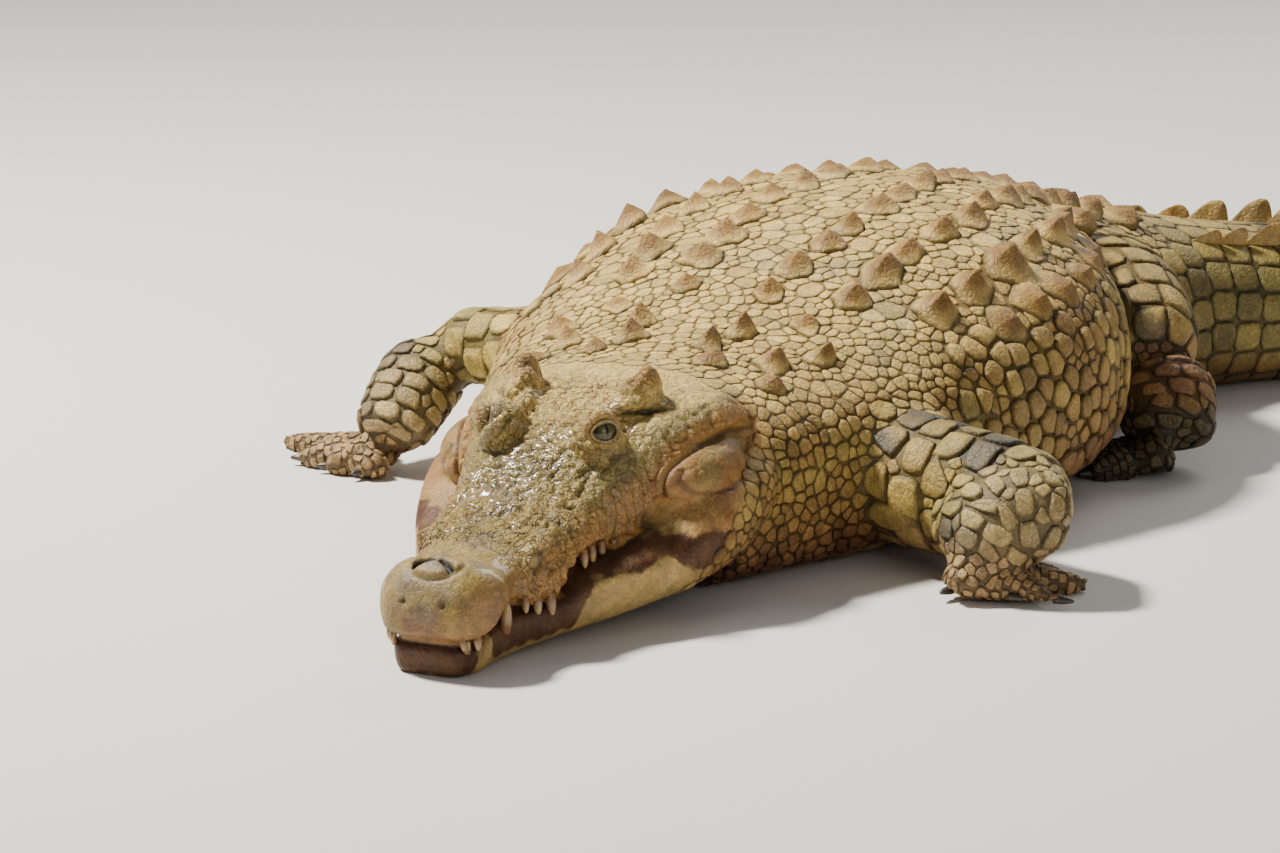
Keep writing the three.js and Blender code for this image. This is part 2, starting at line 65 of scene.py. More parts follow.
# Body sections: station, half width, top height, height of the widest level, squareness under that level.
BODY = np.array([
    [520, 202, 262, 128, 3.6], [600, 244, 288, 140, 4.2], [700, 282, 296, 146, 4.6],
    [800, 330, 306, 148, 5], [950, 392, 345, 152, 5], [1100, 427, 386, 168, 4.6],
    [1250, 448, 415, 182, 4], [1400, 425, 424, 188, 3.5], [1550, 352, 412, 186, 3.3],
    [1700, 276, 378, 176, 3.2], [1850, 232, 338, 165, 3.1], [2000, 208, 298, 150, 3],
    [2200, 176, 256, 128, 3], [2600, 136, 214, 108, 2.8], [3000, 104, 176, 90, 2.6],
    [3500, 66, 128, 66, 2.4], [4000, 30, 70, 36, 2.2], [4200, 12, 30, 15, 2],
], float)
BODY_UPPER_POWER = 2.2
BELLY_SINK = 6.0

# Head sections in its own frame, in mm: from the tip, half width at the lip, top height, lip height.
SKULL = np.array([
    [-2, 22, 88, 62], [8, 55, 112, 50], [26, 73, 134, 45], [50, 84, 146, 52], [78, 86, 142, 72],
    [105, 77, 136, 76], [135, 78, 136, 66], [170, 92, 140, 58], [200, 101, 146, 58],
    [228, 105, 152, 84], [262, 106, 162, 96], [300, 110, 176, 94], [340, 120, 198, 86],
    [375, 132, 216, 90], [415, 145, 228, 116], [450, 158, 236, 150], [500, 172, 244, 168],
    [560, 184, 248, 172], [610, 178, 250, 150], [640, 160, 250, 140],
], float)
SKULL_POWER = 2.5
JAW = np.array([
    [6, 34, 8, 40, 5], [16, 50, 0, 44, 5], [40, 64, 0, 42, 5], [75, 70, 0, 56, 5], [120, 78, 0, 60, 5],
    [180, 102, 0, 58, 5], [240, 136, 0, 76, 5], [300, 170, 0, 90, 4.6], [345, 194, 0, 98, 3.8],
    [380, 212, 0, 112, 3], [430, 230, 0, 146, 2.5], [500, 242, 2, 170, 2.5], [560, 244, 30, 172, 2.6],
    [605, 240, 60, 150, 3], [636, 224, 80, 132, 3],
], float)
CHIN_SINK = 9.0
JAW_GROUND = 0.0015
JAW_LOWER_POWER = 2.9
EYE = np.array([372, 78, 228]) / 1000
EYE_RADIUS = 0.022
# Swellings of the skull on both sides: distance from the tip, offset, height, three half sizes.
SKULL_BUMPS = [
    [382, 70, 214, 42, 34, 40],
    [494, 91, 246, 32, 20, 43],
    [472, 79, 240, 34, 20, 35],
    [446, 64, 228, 36, 20, 26],
    [196, 72, 118, 38, 26, 26],
    [62, 46, 100, 34, 28, 34],
]
NOSE_DISC = [54, 0, 128, 30, 36, 18]
JOWL = [500, 148, 146, 104, 70, 53]
# The lip's edge behind the teeth, where it climbs over the jowl: distance from the tip, height, in mm.
CHEEK = np.array([
    [340, 88], [360, 97], [383, 115], [403, 140], [415, 160], [440, 178], [488, 193], [540, 193],
    [579, 188], [620, 182],
], float)
# The rear edge of the smooth jowl, where the throat's scales begin: height, distance from the tip, in mm.
JOWL_EDGE = np.array([
    [0, 385], [40, 405], [62, 434], [82, 449], [96, 474], [131, 514], [149, 577], [178, 622],
    [240, 640],
], float)

LIMBS = {
    "left_fore": {
        "upper": [[250, 880, 138, 92, 92], [340, 818, 118, 92, 96], [430, 788, 112, 84, 90],
                  [510, 770, 112, 74, 78], [562, 742, 110, 64, 66]],
        "lower": [[578, 756, 104, 64, 62], [544, 726, 112, 84, 70], [494, 698, 94, 84, 66],
                  [466, 662, 48, 76, 46]],
        "palm": [[468, 664, 40, 70, 36], [496, 660, 28, 62, 25], [520, 658, 20, 54, 18]],
        "digits": [
            [[470, 664, 28], [466, 648, 24], [462, 634, 15]],
            [[500, 660, 28], [526, 650, 22], [552, 642, 15]],
            [[516, 672, 27], [566, 664, 21], [616, 660, 13]],
            [[516, 694, 25], [566, 722, 18], [612, 758, 11]],
            [[500, 704, 24], [536, 752, 17], [564, 796, 10]],
        ],
    },
    "right_fore": {
        "upper": [[-230, 1030, 185, 74, 70], [-310, 1042, 188, 76, 70], [-390, 1060, 186, 66, 62],
                  [-474, 1084, 178, 60, 58], [-536, 1098, 162, 56, 54]],
        "lower": [[-546, 1094, 148, 58, 56], [-552, 1040, 128, 68, 62], [-556, 986, 92, 66, 54],
                  [-562, 946, 50, 58, 42]],
        "palm": [[-568, 950, 40, 54, 34], [-602, 960, 27, 54, 24], [-634, 978, 19, 50, 17]],
        "digits": [
            [[-570, 934, 27], [-576, 916, 22], [-582, 900, 14]],
            [[-602, 940, 27], [-624, 928, 21], [-646, 916, 13]],
            [[-630, 964, 26], [-668, 954, 20], [-706, 944, 13]],
            [[-612, 996, 26], [-700, 1016, 18], [-786, 1038, 11]],
            [[-600, 1000, 25], [-654, 1056, 17], [-700, 1102, 10]],
        ],
    },
    "left_hind": {
        "upper": [[150, 1800, 196, 104, 100], [230, 1746, 214, 104, 104], [320, 1676, 206, 98, 100],
                  [396, 1590, 178, 84, 90], [440, 1524, 140, 70, 78]],
        "lower": [[444, 1530, 132, 78, 76], [462, 1508, 106, 77, 72], [476, 1486, 76, 74, 66],
                  [482, 1464, 50, 72, 50]],
        "palm": [[488, 1460, 42, 66, 38], [464, 1450, 31, 68, 28], [430, 1440, 21, 64, 19]],
        "digits": [
            [[452, 1410, 26], [424, 1382, 21], [400, 1356, 13]],
            [[434, 1418, 26], [388, 1396, 21], [350, 1376, 13]],
            [[424, 1442, 25], [374, 1434, 20], [332, 1426, 12]],
            [[430, 1470, 24], [388, 1480, 18], [352, 1490, 11]],
        ],
    },
    "right_hind": {
        "upper": [[-40, 1830, 190, 104, 100], [-140, 1830, 200, 106, 100], [-240, 1816, 190, 98, 94],
                  [-330, 1780, 170, 82, 84], [-384, 1746, 146, 70, 76]],
        "lower": [[-390, 1750, 134, 72, 70], [-410, 1794, 112, 68, 64], [-426, 1836, 84, 62, 56],
                  [-438, 1864, 50, 54, 42]],
        "palm": [[-442, 1850, 40, 52, 36], [-450, 1790, 30, 60, 28], [-464, 1740, 21, 64, 19]],
        "digits": [
            [[-430, 1772, 25], [-412, 1706, 20], [-398, 1652, 12]],
            [[-448, 1756, 26], [-444, 1674, 20], [-438, 1606, 12]],
            [[-472, 1756, 26], [-486, 1676, 20], [-498, 1606, 12]],
            [[-494, 1766, 24], [-532, 1704, 18], [-564, 1652, 11]],
        ],
    },
}
CLAW_LENGTH = 0.022
CLAW_RADIUS = 0.0075
CLAWED = 3

# Teeth in mm: distance from the tip, half spacing, root height, length (up if positive), root radius.
UPPER_TEETH = [
    [18, 50, 50, -16, 5], [34, 62, 50, -18, 6], [142, 76, 68, -22, 6], [160, 84, 64, -26, 7],
    [182, 92, 60, -30, 8], [262, 103, 96, -20, 6], [282, 105, 96, -22, 6], [304, 108, 95, -22, 6],
    [328, 114, 90, -20, 6], [350, 121, 88, -18, 6],
]
LOWER_TEETH = [[96, 71, 50, 32, 8], [24, 52, 38, 14, 5]]

# ---------- Curves ----------
def along(table, col, x):
    """A column of a table at x, by smooth curves through its rows that never overshoot them."""
    xs, ys = table[:, 0], table[:, col]
    x = np.clip(np.asarray(x, float), xs[0], xs[-1])
    h = np.diff(xs)
    d = np.diff(ys) / h
    m = np.zeros(len(xs))
    m[0], m[-1] = d[0], d[-1]
    # a row between a rise and a fall is level; elsewhere its slope is a weighted mean of the spans' slopes
    w1, w2 = h[1:] + 2 * h[:-1], 2 * h[1:] + h[:-1]
    inner = d[:-1] * d[1:] > 0
    safe_a = np.where(inner, d[:-1], 1)
    safe_b = np.where(inner, d[1:], 1)
    m[1:-1] = np.where(inner, (w1 + w2) / (w2 / safe_a + w1 / safe_b), 0)
    i = np.clip(np.searchsorted(xs, x, side="right") - 1, 0, len(xs) - 2)
    t = (x - xs[i]) / h[i]
    return ((1 + 2 * t) * (1 - t) ** 2 * ys[i] + t * (1 - t) ** 2 * h[i] * m[i]
            + t * t * (3 - 2 * t) * ys[i + 1] + t * t * (t - 1) * h[i] * m[i + 1])


def signed_power(x, p):
    return np.sign(x) * np.abs(x) ** p


def unit(v):
    return v / np.maximum(np.linalg.norm(v, axis=-1, keepdims=True), 1e-12)


SPINE_STEP = 0.01
spine_s = np.arange(0, LENGTH + SPINE_STEP / 2, SPINE_STEP)
spine_heading = np.radians(along(HEADING, 1, spine_s * 1000))
spine_x = np.concatenate([[0], np.cumsum(np.sin(spine_heading[:-1]) * SPINE_STEP)])
spine_y = np.concatenate([[0], np.cumsum(np.cos(spine_heading[:-1]) * SPINE_STEP)])
ORIGIN = np.array([*(np.interp(ORIGIN_STATION, spine_s, v) for v in (spine_x, spine_y)), 0])
spine_x = spine_x - ORIGIN[0]
spine_y = spine_y - ORIGIN[1]


def head_point(p):
    """From the head's own frame (u back, v left, z up) to the model's."""
    c, s = math.cos(HEAD_PITCH), math.sin(HEAD_PITCH)
    u, v, z = p[..., 0] - CHIN, p[..., 1], p[..., 2]
    return np.stack([v - ORIGIN[0], CHIN + u * c - z * s - ORIGIN[1], u * s + z * c], -1)


def head_coords(p):
    """From the model's frame to the head's own."""
    c, s = math.cos(HEAD_PITCH), math.sin(HEAD_PITCH)
    y, z = p[..., 1] + ORIGIN[1] - CHIN, p[..., 2]
    return np.stack([CHIN + y * c + z * s, p[..., 0] + ORIGIN[0], -y * s + z * c], -1)


def body_point(s, angle, out=0.0):
    """A point of the body at a station and an angle from the top, the left side positive."""
    s, angle = np.broadcast_arrays(np.asarray(s, float), np.asarray(angle, float))
    x, y = np.interp(s, spine_s, spine_x), np.interp(s, spine_s, spine_y)
    h = np.interp(s, spine_s, spine_heading)
    half = along(BODY, 1, s * 1000) / 1000 + out
    top = along(BODY, 2, s * 1000) / 1000 + out
    mid = along(BODY, 3, s * 1000) / 1000
    c = np.cos(angle)
    upper = c >= 0
    power = np.where(upper, 2 / BODY_UPPER_POWER, 2 / along(BODY, 4, s * 1000))
    across = half * signed_power(np.sin(angle), power)
    lift = np.abs(c) ** power
    height = np.where(upper, (top - mid) * lift, -(mid + BELLY_SINK / 1000 + out) * lift)
    z = np.maximum(mid + height, max(-out, 0.0))
    return np.stack([x + across * np.cos(h), y - across * np.sin(h), z], -1)


# ---------- Surfaces that carry scales ----------
class Surface:
    """A tube-like surface: point(s, angle), with s its length and t from -1 to 1 round it from the top."""

    def __init__(self, point, length, start=0.0, stations=160, sides=256):
        self.point = point
        self.start, self.length = start, length
        self.s = np.linspace(start, start + length, stations)
        angle = np.linspace(-np.pi, np.pi, sides + 1)
        ring = point(self.s[:, None], angle[None, :])
        step = np.linalg.norm(np.diff(ring, axis=1), axis=-1)
        run = np.concatenate([np.zeros((stations, 1)), np.cumsum(step, axis=1)], axis=1)
        self.girth = run[:, -1]
        self.t = np.linspace(-1, 1, 241)
        self.angle = np.empty((stations, 241))
        for k in range(stations):
            middle = np.interp(0, angle, run[k])
            past = run[k] - middle
            share = np.where(past >= 0, past / (run[k, -1] - middle), past / middle)
            self.angle[k] = np.interp(self.t, share, angle)

    def half_girth(self, s):
        return np.interp(s, self.s, self.girth) / 2

    def at(self, s, t):
        """Points at stations s and shares t of the half girth."""
        t = (t + 1) % 2 - 1
        k = np.clip((s - self.start) / self.length * (len(self.s) - 1), 0, len(self.s) - 1.001)
        i = k.astype(int)
        j = np.clip((t + 1) / 2 * 240, 0, 239.999)
        q = j.astype(int)
        a, b = k - i, j - q
        grid = self.angle
        angle = ((grid[i, q] * (1 - b) + grid[i, q + 1] * b) * (1 - a)
                 + (grid[i + 1, q] * (1 - b) + grid[i + 1, q + 1] * b) * a)
        return self.point(s, angle)

    def frame(self, s, t):
        """Points with their direction of increasing s, of increasing t, and their outward normal."""
        e = 0.003
        p = self.at(s, t)
        ahead, behind = np.minimum(s + e, self.start + self.length), np.maximum(s - e, self.start)
        ds = self.at(ahead, t) - self.at(behind, t)
        dt = self.at(s, t + 0.01) - self.at(s, t - 0.01)
        along_s = unit(ds)
        normal = unit(np.cross(dt, ds))
        return p, along_s, unit(np.cross(along_s, normal)), normal


def limb_surface(points, shrink=0.0):
    """The surface of a limb tube, as in the solids, by arc length."""
    table = np.array([[i, *p] for i, p in enumerate(points)], float)
    last = len(points) - 1
    fine = np.linspace(0, last, 200)
    centre = np.stack([along(table, c, fine) for c in (1, 2, 3)], -1) / 1000
    run = np.concatenate([[0], np.cumsum(np.linalg.norm(np.diff(centre, axis=0), axis=1))])

    def point(s, angle):
        s, angle = np.broadcast_arrays(np.asarray(s, float), np.asarray(angle, float))
        t = np.interp(s, run, fine)
        e = 0.02
        ahead = np.stack([along(table, c, t + e) - along(table, c, t - e) for c in (1, 2, 3)], -1)
        tangent = unit(ahead)
        side = unit(np.cross(tangent, np.array([0, 0, 1.0])))
        up = unit(np.cross(side, tangent))
        edge = np.minimum(t, last - t)
        blunt = np.where(edge >= 0.5, 1, 0.62 + 0.38 * np.sin(np.clip(edge / 0.5, 0, 1) * np.pi / 2))
        across = along(table, 4, t) / 1000 * blunt - shrink
        high = along(table, 5, t) / 1000 * blunt - shrink
        middle = np.stack([along(table, c, t) for c in (1, 2, 3)], -1) / 1000 - ORIGIN
        p = middle + side * (across * np.sin(angle))[..., None] + up * (high * np.cos(angle))[..., None]
        p[..., 2] = np.maximum(p[..., 2], shrink)
        return p

    return Surface(point, run[-1], stations=60, sides=96)


def digit_points(points):
    return [[x, y, r * 0.92, r * 1.10 + 3, r * 0.95 + 2] for x, y, r in points]


# ---------- Noise ----------
def hashed(i, j, k, seed):
    n = (i * 374761393 + j * 668265263 + k * 2147483647 + seed * 1274126177) & 0xFFFFFFFF
    n = ((n ^ (n >> 13)) * 1274126177) & 0xFFFFFFFF
    n = ((n ^ (n >> 16)) * 2246822519) & 0xFFFFFFFF
    return ((n ^ (n >> 15)) & 0xFFFFFF) / float(0xFFFFFF)


def noise(p, size, seed=0):
    """Smooth value noise from -1 to 1 with lumps of about the given size."""
    q = p / size + 1000.0
    base = np.floor(q).astype(np.int64)
    f = q - base
    f = f * f * (3 - 2 * f)
    total = 0.0
    for dx in (0, 1):
        for dy in (0, 1):
            for dz in (0, 1):
                w = ((f[:, 0] if dx else 1 - f[:, 0]) * (f[:, 1] if dy else 1 - f[:, 1])
                     * (f[:, 2] if dz else 1 - f[:, 2]))
                total = total + w * hashed(base[:, 0] + dx, base[:, 1] + dy, base[:, 2] + dz, seed)
    return total * 2 - 1


def octaves(p, size, seed=0, count=3):
    total, weight = 0.0, 0.0
    for k in range(count):
        total = total + noise(p, size / 2 ** k, seed + 17 * k) / 2 ** k
        weight += 1 / 2 ** k
    return total / weight


def smoothstep(a, b, x):
    t = np.clip((x - a) / (b - a), 0, 1)
    return t * t * (3 - 2 * t)


def fade(a, b, x):
    """From 1 at a to 0 at b."""
    return 1 - smoothstep(a, b, x)


def bell(x, centre, width):
    return np.exp(-(((x - centre) / width) ** 2))


# ---------- Mesh helpers ----------
def make_mesh(name, verts, faces, smooth=True):
    """An object from an array of points and an array of faces, or a list of such arrays."""
    mesh = bpy.data.meshes.new(name)
    verts = np.asarray(verts, np.float32)
    blocks = faces if isinstance(faces, list) else [faces]
    loops = np.concatenate([np.asarray(b, np.int32).ravel() for b in blocks])
    totals = np.concatenate([np.full(len(b), np.asarray(b).shape[1], np.int32) for b in blocks])
    starts = np.concatenate([[0], np.cumsum(totals)[:-1]]).astype(np.int32)
    mesh.vertices.add(len(verts))
    mesh.vertices.foreach_set("co", verts.ravel())
    mesh.loops.add(len(loops))
    mesh.loops.foreach_set("vertex_index", loops)
    mesh.polygons.add(len(totals))
    mesh.polygons.foreach_set("loop_start", starts)
    mesh.polygons.foreach_set("loop_total", totals)
    mesh.polygons.foreach_set("use_smooth", np.full(len(totals), smooth))
    mesh.update(calc_edges=True)
    obj = bpy.data.objects.new(name, mesh)
    bpy.context.scene.collection.objects.link(obj)
    return obj


def by_corners(f):
    """Splits an array of quads into real quads and the triangles stored with a repeated corner."""
    flat = f[:, 2] == f[:, 3]
    return [f[~flat], f[flat][:, :3]]


def loft(rings):
    """Points and triangles of a closed solid from an array of rings (k, n, 3)."""
    k, n, _ = rings.shape
    verts = np.concatenate([rings.reshape(-1, 3), rings[0].mean(0)[None], rings[-1].mean(0)[None]])
    i = np.arange(k - 1)[:, None] * n
    a = (i + np.arange(n)[None]).ravel()
    b = (i + (np.arange(n)[None] + 1) % n).ravel()
    sides = np.concatenate([np.stack([a, a + n, b], -1), np.stack([b, a + n, b + n], -1)])
    j = np.arange(n)
    nxt = (j + 1) % n
    ends = np.concatenate([
        np.stack([np.full(n, k * n), j, nxt], -1),
        np.stack([np.full(n, k * n + 1), (k - 1) * n + nxt, (k - 1) * n + j], -1),
    ])
    return verts, np.concatenate([sides, ends])


def merge(solids):
    verts, faces, at = [], [], 0
    for v, f in solids:
        verts.append(v)
        faces.append(f + at)
        at += len(v)
    return np.concatenate(verts), np.concatenate(faces)


def ring_angles(n):
    return (np.arange(n) + 0.5) / n * 2 * np.pi


# ---------- The head's solids, in its own frame ----------
def head_rings(u, across, height):
    return head_point(np.stack(np.broadcast_arrays(u, across, height), -1))


def skull_rings(shrink):
    u = np.linspace(SKULL[0, 0] / 1000 + shrink, SKULL[-1, 0] / 1000, 130)[:, None]
    a = ring_angles(80)[None]
    half, top, lip = [along(SKULL, c, u * 1000) / 1000 for c in (1, 2, 3)]
    half, top, lip = half - shrink, top - shrink, lip + shrink
    c = np.cos(a)
    across = half * signed_power(np.sin(a), 2 / SKULL_POWER)
    mid = lip + 0.3 * (top - lip)
    lift = np.abs(c)
    height = np.where(c >= 0, (top - mid) * lift ** (2 / SKULL_POWER), -(mid - lip) * lift ** 0.4)
    return head_rings(u, across, mid + height)


def jaw_rings(shrink):
    u = np.linspace(JAW[0, 0] / 1000 + shrink, JAW[-1, 0] / 1000, 120)[:, None]
    a = ring_angles(80)[None]
    half, low, rim = [along(JAW, c, u * 1000) / 1000 for c in (1, 2, 3)]
    half, rim = half - shrink, rim - shrink
    mid = low + 0.62 * (rim - low)
    c = np.cos(a)
    power = np.where(c >= 0, 2 / along(JAW, 4, u * 1000), 2 / JAW_LOWER_POWER)
    across = half * signed_power(np.sin(a), power)
    height = np.where(c >= 0, (rim - mid), -(mid + CHIN_SINK / 1000 - low)) * np.abs(c) ** power
    p = head_rings(u, across, mid + height)
    p[..., 2] = np.maximum(p[..., 2], JAW_GROUND)
    return p


def mouth_rings():
    u = np.linspace(0.03, 0.62, 60)[:, None]
    a = ring_angles(40)[None]
    half = np.minimum(along(JAW, 1, u * 1000), along(SKULL, 1, u * 1000)) / 1000 - 0.016
    low = along(JAW, 2, u * 1000) / 1000 + 0.014
    high = along(SKULL, 3, u * 1000) / 1000 + 0.014
    across = half * signed_power(np.sin(a), 0.5)
    height = (low + high) / 2 + (high - low) / 2 * signed_power(np.cos(a), 0.5)
    return head_rings(u, across, height)


def bump_solid(bump, side, shrink):
    """An ellipsoid on one side of the head: its centre and half sizes in mm."""
    u, v, z, hu, hv, hz = np.array([bump[0], side * bump[1], *bump[2:]]) / 1000
    t = (np.arange(16) + 0.5)[:, None] / 16 * np.pi
    a = ring_angles(28)[None]
    r = np.sin(t)
    return loft(head_rings(u - (hu - shrink) * np.cos(t), v + (hv - shrink) * r * np.cos(a),
                           z + (hz - shrink) * r * np.sin(a)))


# ---------- One skin ----------
BODY_SURFACE = Surface(lambda s, a: body_point(s, a, -COAT), LENGTH - BODY_START, start=BODY_START,
                       stations=360, sides=360)
body_stations = np.arange(0.54, LENGTH - 0.002, 0.012)[:, None]
solids = [loft(rings) for rings in (body_point(body_stations, ring_angles(120)[None], -COAT),
                                    skull_rings(SKULL_INSET), jaw_rings(SKULL_INSET), mouth_rings())]
solids += [bump_solid(bump, side, SKULL_INSET) for bump in SKULL_BUMPS for side in (1, -1)]
solids.append(bump_solid(NOSE_DISC, 1, DISC_INSET))
solids += [bump_solid(JOWL, side, JOWL_INSET) for side in (1, -1)]
limb_surfaces = {}
for key, limb in LIMBS.items():
    for part in ("upper", "lower", "palm"):
        limb_surfaces[key, part] = limb_surface(limb[part], LIMB_INSET[part])
    for k, digit in enumerate(limb["digits"]):
        limb_surfaces[key, f"digit{k + 1}"] = limb_surface(digit_points(digit), LIMB_INSET["digit"])
for surface in limb_surfaces.values():
    solids.append(loft(surface.point(np.linspace(0, surface.length, 44)[:, None], ring_angles(40)[None])))


def remeshed(solids, voxel):
    """Points and quads of one closed surface round all the solids."""
    obj = make_mesh("union", *merge(solids))
    modifier = obj.modifiers.new("remesh", "REMESH")
    modifier.mode = "VOXEL"
    modifier.voxel_size = voxel
    evaluated = obj.evaluated_get(bpy.context.evaluated_depsgraph_get()).to_mesh()
    co = np.empty(len(evaluated.vertices) * 3, np.float32)
    evaluated.vertices.foreach_get("co", co)
    loops = np.empty(len(evaluated.loops), np.int32)
    evaluated.loops.foreach_get("vertex_index", loops)
    bpy.data.objects.remove(obj)
    return co.reshape(-1, 3).astype(float), loops.reshape(-1, 4)


def refined(v, f, chosen):
    """Splits the chosen quads in four and their neighbours into triangles that keep the shared midpoints."""
    side = np.stack([f, np.roll(f, -1, 1)], -1)
    ends = np.sort(side.reshape(-1, 2), 1)
    key = ends[:, 0] * len(v) + ends[:, 1]
    unique, first, edge = np.unique(key, return_index=True, return_inverse=True)
    edge = edge.reshape(-1, 4)
    marked = np.zeros(len(unique), bool)
    marked[edge[chosen].ravel()] = True
    number = np.full(len(unique), -1)
    number[marked] = len(v) + np.arange(marked.sum())
    middles = v[ends[first[marked]]].mean(1)
    touched = marked[edge].any(1)
    centres = v[f[touched]].mean(1)
    centre = np.full(len(f), -1)
    centre[touched] = len(v) + len(middles) + np.arange(touched.sum())
    out = [f[~touched]]
    for k in range(4):
        before, after = number[edge[chosen, k - 1]], number[edge[chosen, k]]
        out.append(np.stack([f[chosen, k], after, centre[chosen], before], -1))
    rest = touched & ~chosen
    for k in range(4):
        a, b = f[rest, k], f[rest, (k + 1) % 4]
        m, c = number[edge[rest, k]], centre[rest]
        cut = m >= 0
        out.append(np.stack([a[~cut], b[~cut], c[~cut], c[~cut]], -1))
        out.append(np.stack([a[cut], m[cut], c[cut], c[cut]], -1))
        out.append(np.stack([m[cut], b[cut], c[cut], c[cut]], -1))
    return np.concatenate([v, middles, centres]), np.concatenate(out)


def linked(f, count):
    """The edges of the faces and how many meet at each point."""
    pairs = np.concatenate([f[:, [k, (k + 1) % 4]] for k in range(4)])
    pairs = pairs[pairs[:, 0] != pairs[:, 1]]
    return pairs, np.bincount(pairs.ravel(), minlength=count)


skin_v, skin_f = remeshed(solids, VOXEL)
edges, degree = linked(skin_f, len(skin_v))


def spread(values):
    """The mean of each point's neighbours."""
    out = np.empty_like(values)
    for c in range(values.shape[1]):
        out[:, c] = (np.bincount(edges[:, 0], values[edges[:, 1], c], len(values))
                     + np.bincount(edges[:, 1], values[edges[:, 0], c], len(values)))
    return out / degree[:, None]


def relax(v, rounds, weight=None):
    """Smooths the surface without shrinking it."""
    w = 1.0 if weight is None else weight[:, None]
    for _ in range(rounds):
        v = v + 0.5 * w * (spread(v) - v)
        v = v - 0.52 * w * (spread(v) - v)
    return v


def melt(v, rounds, weight):
    """Plain smoothing that softens the creases where solids meet."""
    for _ in range(rounds):
        v = v + 0.6 * weight[:, None] * (spread(v) - v)
    return v


def normals_of(v, f):
    d1 = v[f[:, 2]] - v[f[:, 0]]
    d2 = v[f[:, 3]] - v[f[:, 1]]
    n = np.cross(d1, d2)
    out = np.empty_like(v)
    for c in range(3):
        out[:, c] = sum(np.bincount(f[:, k], n[:, c], len(v)) for k in range(4))
    return unit(out)


skin_v = relax(skin_v, 4)
# Joints whose creases are softened: a point in the head-aligned frame in mm, and a radius in mm.
SOFT_JOINTS = [
    (300, 850, 180, 150), (-300, 1040, 200, 130), (250, 1740, 260, 170), (-180, 1830, 240, 170),
    (575, 750, 110, 90), (-540, 1095, 160, 80), (445, 1525, 135, 90), (-388, 1748, 140, 90),
    (470, 668, 66, 44), (-562, 946, 60, 40), (500, 1466, 60, 46), (-438, 1860, 56, 44),
]
soft = np.zeros(len(skin_v))
for x, y, z, r in SOFT_JOINTS:
    centre = np.array([x, y, z]) / 1000 - ORIGIN
    soft = np.maximum(soft, fade(0.6, 1.0, np.linalg.norm(skin_v - centre, axis=1) / (r / 1000)))
soft = soft * smoothstep(0.030, 0.055, skin_v[:, 2])
h = head_coords(skin_v)
behind = smoothstep(0.56, 0.60, h[:, 0]) * fade(0.66, 0.74, h[:, 0])
soft = np.maximum(soft, behind)
skin_v = melt(skin_v, 70, soft)
skin_v[:, 2] = np.maximum(skin_v[:, 2], GROUND)

# ---------- Head relief ----------
face_u = head_coords(skin_v)[skin_f, 0].max(1)
skin_v, skin_f = refined(skin_v, skin_f, face_u < HEAD_RELIEF[0])
edges, degree = linked(skin_f, len(skin_v))
skin_v = relax(skin_v, 3, fade(*HEAD_RELIEF, head_coords(skin_v)[:, 0]))


def head_zones(h):
    """Distance from the tip, offset, height, height over the lip's edge, and distance before the jowl's."""
    u, v, z = h[:, 0], np.abs(h[:, 1]), h[:, 2]
    lip = np.where(u < 0.34, along(SKULL, 3, u * 1000), along(CHEEK, 1, u * 1000)) / 1000
    edge = along(JOWL_EDGE, 1, z * 1000) / 1000
    over = np.minimum(z - lip, along(SKULL, 1, u * 1000) / 1000 + 0.007 - v)
    return u, v, z, over, edge - u


def jowl_ring(u, z):
    """Distance from the middle of the jowl's muscle, 1 at its edge."""
    return np.hypot((u - 0.505) / 0.092, (z - 0.170 - 0.18 * (u - 0.5)) / 0.034)


def billows(h, size, seed):
    """Rounded lumps from 0 to 1 with sharp creases between them."""
    return np.abs(noise(h, size, seed)) ** 0.7


def to_segment(a, b, pa, pb):
    """Distances in a plane to the segment from pa to pb."""
    (ax, ay), (bx, by) = pa, pb
    dx, dy = bx - ax, by - ay
    t = np.clip(((a - ax) * dx + (b - ay) * dy) / (dx * dx + dy * dy), 0, 1)
    return np.hypot(a - ax - t * dx, b - ay - t * dy)


NOSTRILS = [((0.038, 0.025), (0.046, 0.018)), ((0.046, 0.018), (0.053, 0.006))]
h = head_coords(skin_v)
normal = normals_of(skin_v, skin_f)
U, V, Z, over, ahead = head_zones(h)
on_head = smoothstep(-0.02, 0.02, ahead)
upper = smoothstep(-0.002, 0.008, over)
bone = on_head * upper
warp = h + 0.010 * np.stack([noise(h, 0.05, k) for k in (5, 6, 7)], -1)
rugged = smoothstep(0.10, 0.17, U) * fade(0.52, 0.60, U) * (1 - 0.55 * smoothstep(0.075, 0.12, V))
lumps = 0.50 * billows(warp, 0.032, 11) + 0.50 * billows(warp, 0.015, 12)
quiet = 1 - 0.85 * bell(np.hypot((U - 0.05) / 0.045, h[:, 1] / 0.05), 0, 1.0)
quiet = quiet * (1 - 0.7 * smoothstep(0.245, 0.262, Z) * smoothstep(0.43, 0.46, U))
rise = bone * (0.0012 + 0.0125 * rugged) * (lumps - 0.35) * quiet
rise += bone * 0.0030 * octaves(h, 0.060, 21) * smoothstep(0.08, 0.14, U)
rise += bone * 0.0020 * billows(warp, 0.0085, 13) * (0.15 + rugged)
wrinkle = 0.0012 * bell(noise(warp, 0.022, 45), 0, 0.10) * smoothstep(0.40, 0.44, U) * (Z > 0.13)
rise -= on_head * (1 - upper) * wrinkle
seams = bell(noise(warp, 0.05, 43), 0, 0.05)
rise += on_head * (1 - upper) * (0.0016 * octaves(h, 0.07, 41) - 0.0010 * seams)
